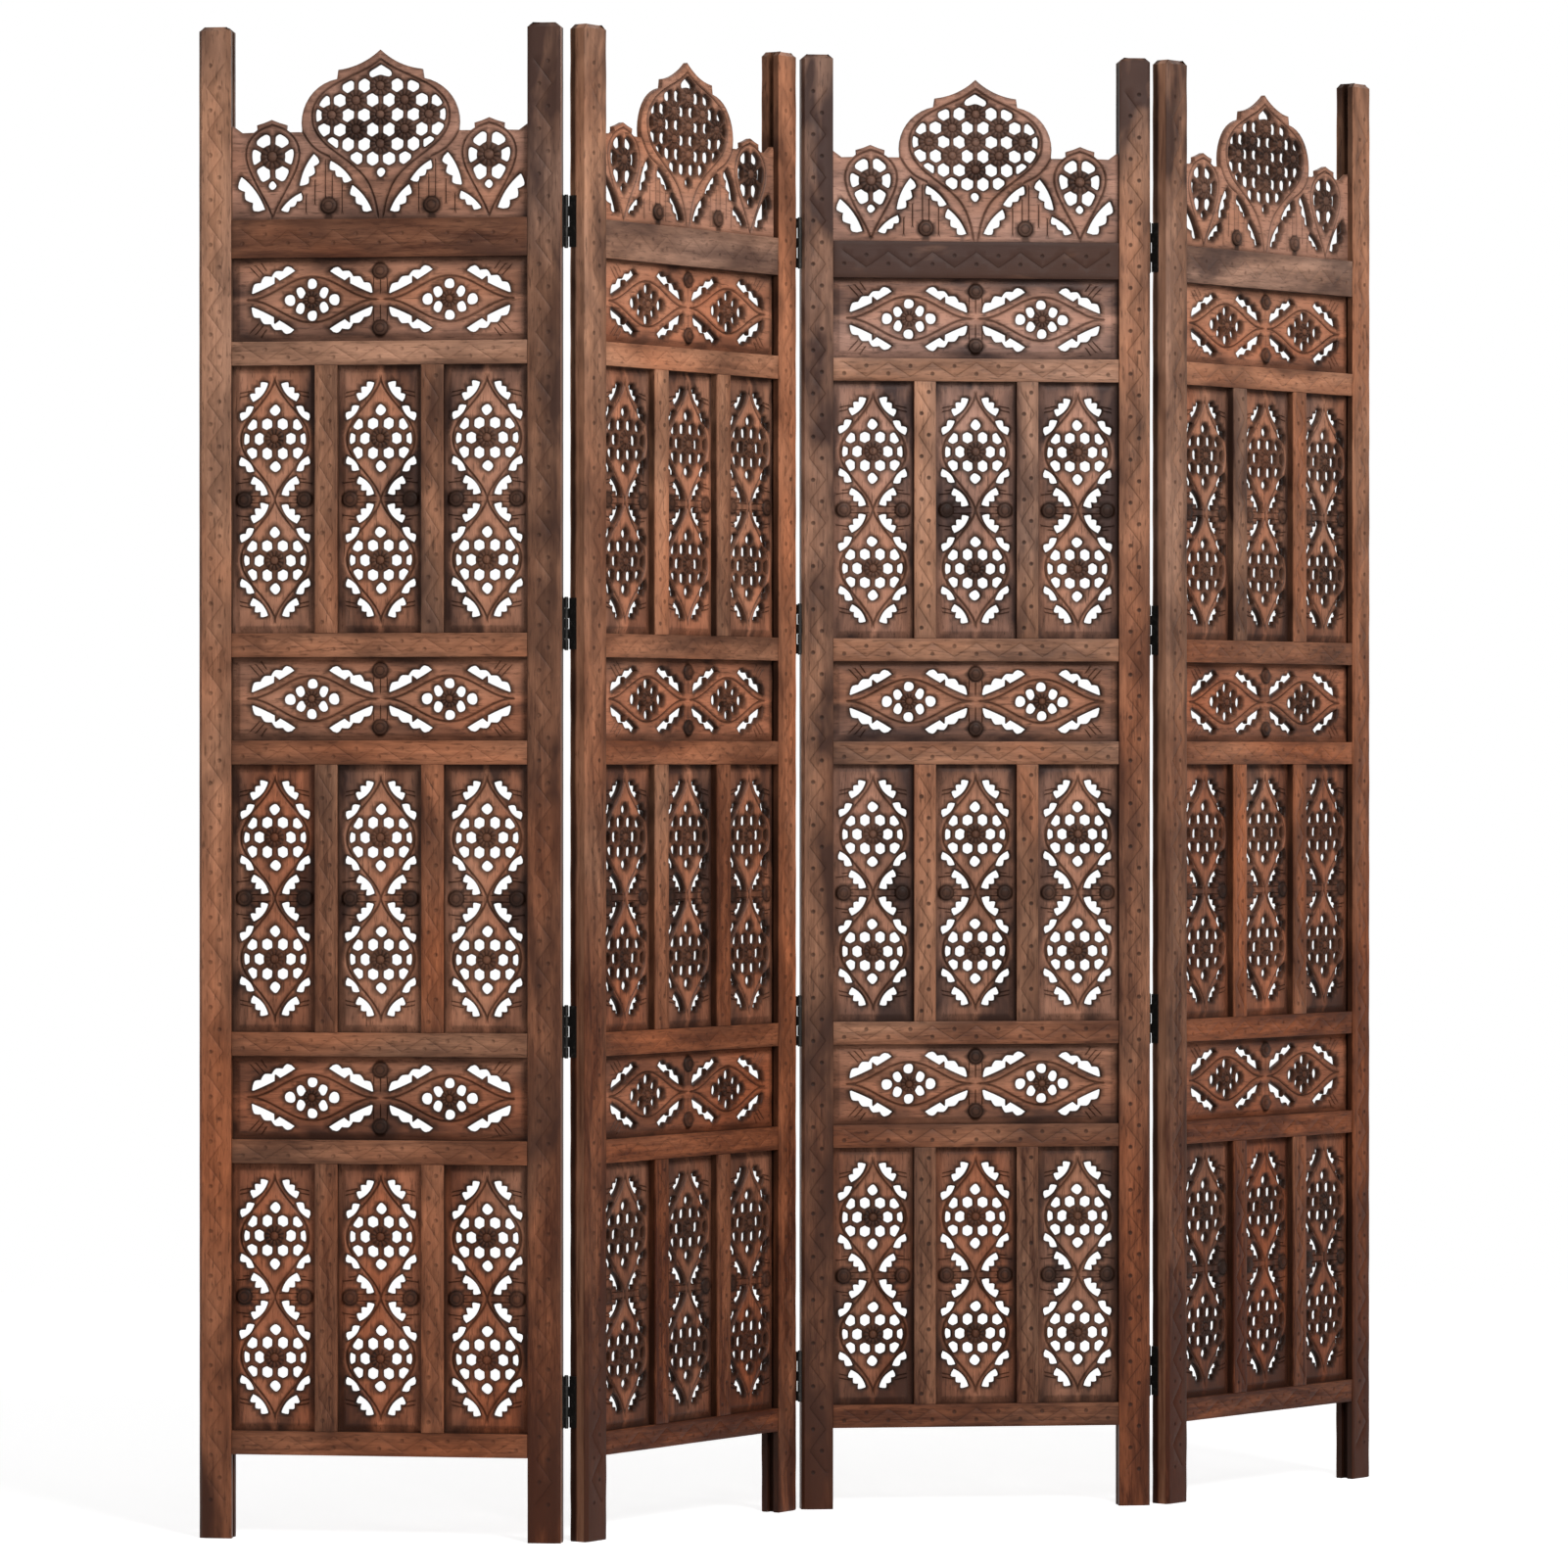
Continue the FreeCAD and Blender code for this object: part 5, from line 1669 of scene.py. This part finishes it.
class SCREEN_OT_muntins(bpy.types.Operator):
    """Carve the bars between the tall tiles of every leaf"""

    bl_idname = "screen.make_muntins"
    bl_label = "Make Muntins"

    def execute(self, context):
        sizes, finish, plan = settings(context)
        width = sizes.muntin_width
        face = bar_face(width, sizes.tile_height, True)

        def pieces(leaf, rng):
            for span, level in zip(plan.tile_rows, MUNTIN_LEVELS):
                for index in (1, 2):
                    u = plan.left + index * (plan.tile_width + width) - width / 2
                    shape = bar(face, LEAF_MARKS[leaf.name], (u, sum(span) / 2), plan.bar_depth)
                    yield shape, leaf.tone(level, MUNTIN_SPREAD, rng)

        for leaf in leaves(sizes, finish):
            rng = leaf.chance("muntins")
            leaf.make("muntins", "frame_wood", UPRIGHT, pieces(leaf, rng), rng)
        return {"FINISHED"}


class SCREEN_OT_tiles(bpy.types.Operator):
    """Carve the three rows of tall tiles of every leaf"""

    bl_idname = "screen.make_tiles"
    bl_label = "Make Tiles"

    def execute(self, context):
        sizes, finish, plan = settings(context)
        faces = kinds_of(tile_face, (plan.tile_width, sizes.tile_height), TILE_KINDS, TILE_SEED)
        starts = [plan.left + index * (plan.tile_width + sizes.muntin_width) for index in range(3)]
        for leaf in leaves(sizes, finish):
            tones = (TILE_LEVELS[leaf.name], TILE_SPREAD)
            for node, span in zip(TILE_NODES, plan.tile_rows):
                rng = leaf.chance(node)
                centres = [(start + plan.tile_width / 2, sum(span) / 2) for start in starts]
                pieces = chosen_boards(leaf, faces, centres, plan.board_depth, *tones, rng)
                leaf.make(node, "panel_wood", UPRIGHT, pieces, rng)
        return {"FINISHED"}


class SCREEN_OT_bands(bpy.types.Operator):
    """Carve the long bands of every leaf"""

    bl_idname = "screen.make_bands"
    bl_label = "Make Bands"

    def execute(self, context):
        sizes, finish, plan = settings(context)
        faces = kinds_of(band_face, (plan.opening, sizes.band_height), BAND_KINDS, BAND_SEED)
        centres = [(plan.middle, sum(span) / 2) for span in plan.bands]
        for leaf in leaves(sizes, finish):
            rng = leaf.chance("bands")
            tones = (BAND_LEVELS[leaf.name], BAND_SPREAD)
            pieces = chosen_boards(leaf, faces, centres, plan.board_depth, *tones, rng)
            leaf.make("bands", "panel_wood", LYING, pieces, rng)
        return {"FINISHED"}


class SCREEN_OT_crests(bpy.types.Operator):
    """Carve the domed crest of every leaf"""

    bl_idname = "screen.make_crests"
    bl_label = "Make Crests"

    def execute(self, context):
        sizes, finish, plan = settings(context)
        faces = kinds_of(crest_face, plan.opening, CREST_KINDS, CREST_SEED)
        centre = (plan.middle, plan.top_rail[1])
        for number, leaf in enumerate(leaves(sizes, finish)):
            rng = leaf.chance("crest")
            flips = FLIPS[rng.integers(2)]
            shape = faces[number % len(faces)].board(centre, *plan.board_depth, flips)
            pieces = [(shape, leaf.tone(CREST_LEVEL, CREST_SPREAD, rng))]
            leaf.make("crest", "panel_wood", LYING, pieces, rng)
        return {"FINISHED"}


class SCREEN_OT_hinges(bpy.types.Operator):
    """Give the hinges their blackened iron"""

    bl_idname = "screen.finish_hinges"
    bl_label = "Finish Hinges"

    def execute(self, context):
        material = hinge_iron(context.scene.screen_finish)
        for name in HINGE_NODES:
            for slot in frame["nodes"][name].material_slots:
                slot.material = material
        return {"FINISHED"}


def area_lamp(name, place, target, size, power):
    """A soft square lamp that looks at a target."""
    lamp = bpy.data.lights.new(name, "AREA")
    lamp.energy = power
    lamp.size = size
    holder = bpy.data.objects.new(name, lamp)
    holder.location = place
    holder.rotation_euler = (Vector(target) - Vector(place)).to_track_quat("-Z", "Y").to_euler()
    bpy.context.scene.collection.objects.link(holder)


class SCREEN_OT_stage(bpy.types.Operator):
    """Set the camera, the pale floor and the soft light"""

    bl_idname = "screen.make_stage"
    bl_label = "Make Stage"

    def execute(self, context):
        scene = context.scene
        stage = scene.screen_stage
        camera = bpy.data.cameras.new("camera")
        camera.lens = stage.lens
        camera.sensor_width = SENSOR_WIDTH
        camera.clip_end = VIEW_REACH
        holder = bpy.data.objects.new("camera", camera)
        holder.location = stage.camera_place
        holder.rotation_euler = (math.pi / 2 - stage.camera_pitch, 0.0, 0.0)
        scene.collection.objects.link(holder)
        scene.camera = holder
        scene.view_settings.view_transform = "Standard"

        mesh = bpy.data.meshes.new("floor")
        across = 2 * stage.floor_reach
        mesh.from_pydata([(x, y, 0.0) for x, y in rectangle(across, across)], [], [(0, 1, 2, 3)])
        floor = bpy.data.objects.new("floor", mesh)
        scene.collection.objects.link(floor)
        material, tree, shader = fresh_material("floor_pale")
        tree.feed(shader, {"Base Color": stage.floor_colour, "Roughness": FLOOR_ROUGHNESS})
        tree.feed(shader, {"Specular IOR Level": 0.0, "Emission Color": WHITE})
        glow = tree.math("MULTIPLY", tree.seen_directly(), stage.floor_glow)
        tree.feed(shader, {"Emission Strength": glow})
        mesh.materials.append(material)

        world = bpy.data.worlds.new("studio")
        scene.world = world
        world.use_nodes = True
        tree = NodeTree(world.node_tree)
        gain = tree.scaled(tree.seen_directly(), 1.0 - stage.sky_strength, stage.sky_strength)
        tree.feed(tree.nodes["Background"], {"Color": WHITE, "Strength": gain})

        for *lamp, power in LAMPS:
            area_lamp(*lamp, getattr(stage, power))
        return {"FINISHED"}


OPERATORS = (
    SCREEN_OT_stage,
    SCREEN_OT_stiles,
    SCREEN_OT_rails,
    SCREEN_OT_muntins,
    SCREEN_OT_tiles,
    SCREEN_OT_bands,
    SCREEN_OT_crests,
    SCREEN_OT_hinges,
)


class SCREEN_PT_sidebar(bpy.types.Panel):
    """Sizes, finish and steps of the folding screen"""

    bl_idname = "SCREEN_PT_sidebar"
    bl_label = "Folding Screen"
    bl_space_type = "VIEW_3D"
    bl_region_type = "UI"
    bl_category = "Screen"

    def draw(self, context):
        for name in ("screen_sizes", "screen_finish", "screen_stage"):
            group = getattr(context.scene, name)
            column = self.layout.box().column(align=True)
            for key in keys(group):
                column.prop(group, key)
        for operator in OPERATORS:
            self.layout.operator(operator.bl_idname)


CLASSES = (ScreenSizes, ScreenFinish, StageSettings) + OPERATORS + (SCREEN_PT_sidebar,)


def register():
    for cls in CLASSES:
        bpy.utils.register_class(cls)
    bpy.types.Scene.screen_sizes = PointerProperty(type=ScreenSizes)
    bpy.types.Scene.screen_finish = PointerProperty(type=ScreenFinish)
    bpy.types.Scene.screen_stage = PointerProperty(type=StageSettings)


def unregister():
    del bpy.types.Scene.screen_stage
    del bpy.types.Scene.screen_finish
    del bpy.types.Scene.screen_sizes
    for cls in reversed(CLASSES):
        bpy.utils.unregister_class(cls)


def main():
    register()
    bpy.ops.screen.make_stage()
    bpy.ops.screen.make_stiles()
    bpy.ops.screen.make_rails()
    bpy.ops.screen.make_muntins()
    bpy.ops.screen.make_tiles()
    bpy.ops.screen.make_bands()
    bpy.ops.screen.make_crests()
    bpy.ops.screen.finish_hinges()
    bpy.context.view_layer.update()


if __name__ == "__main__":
    main()
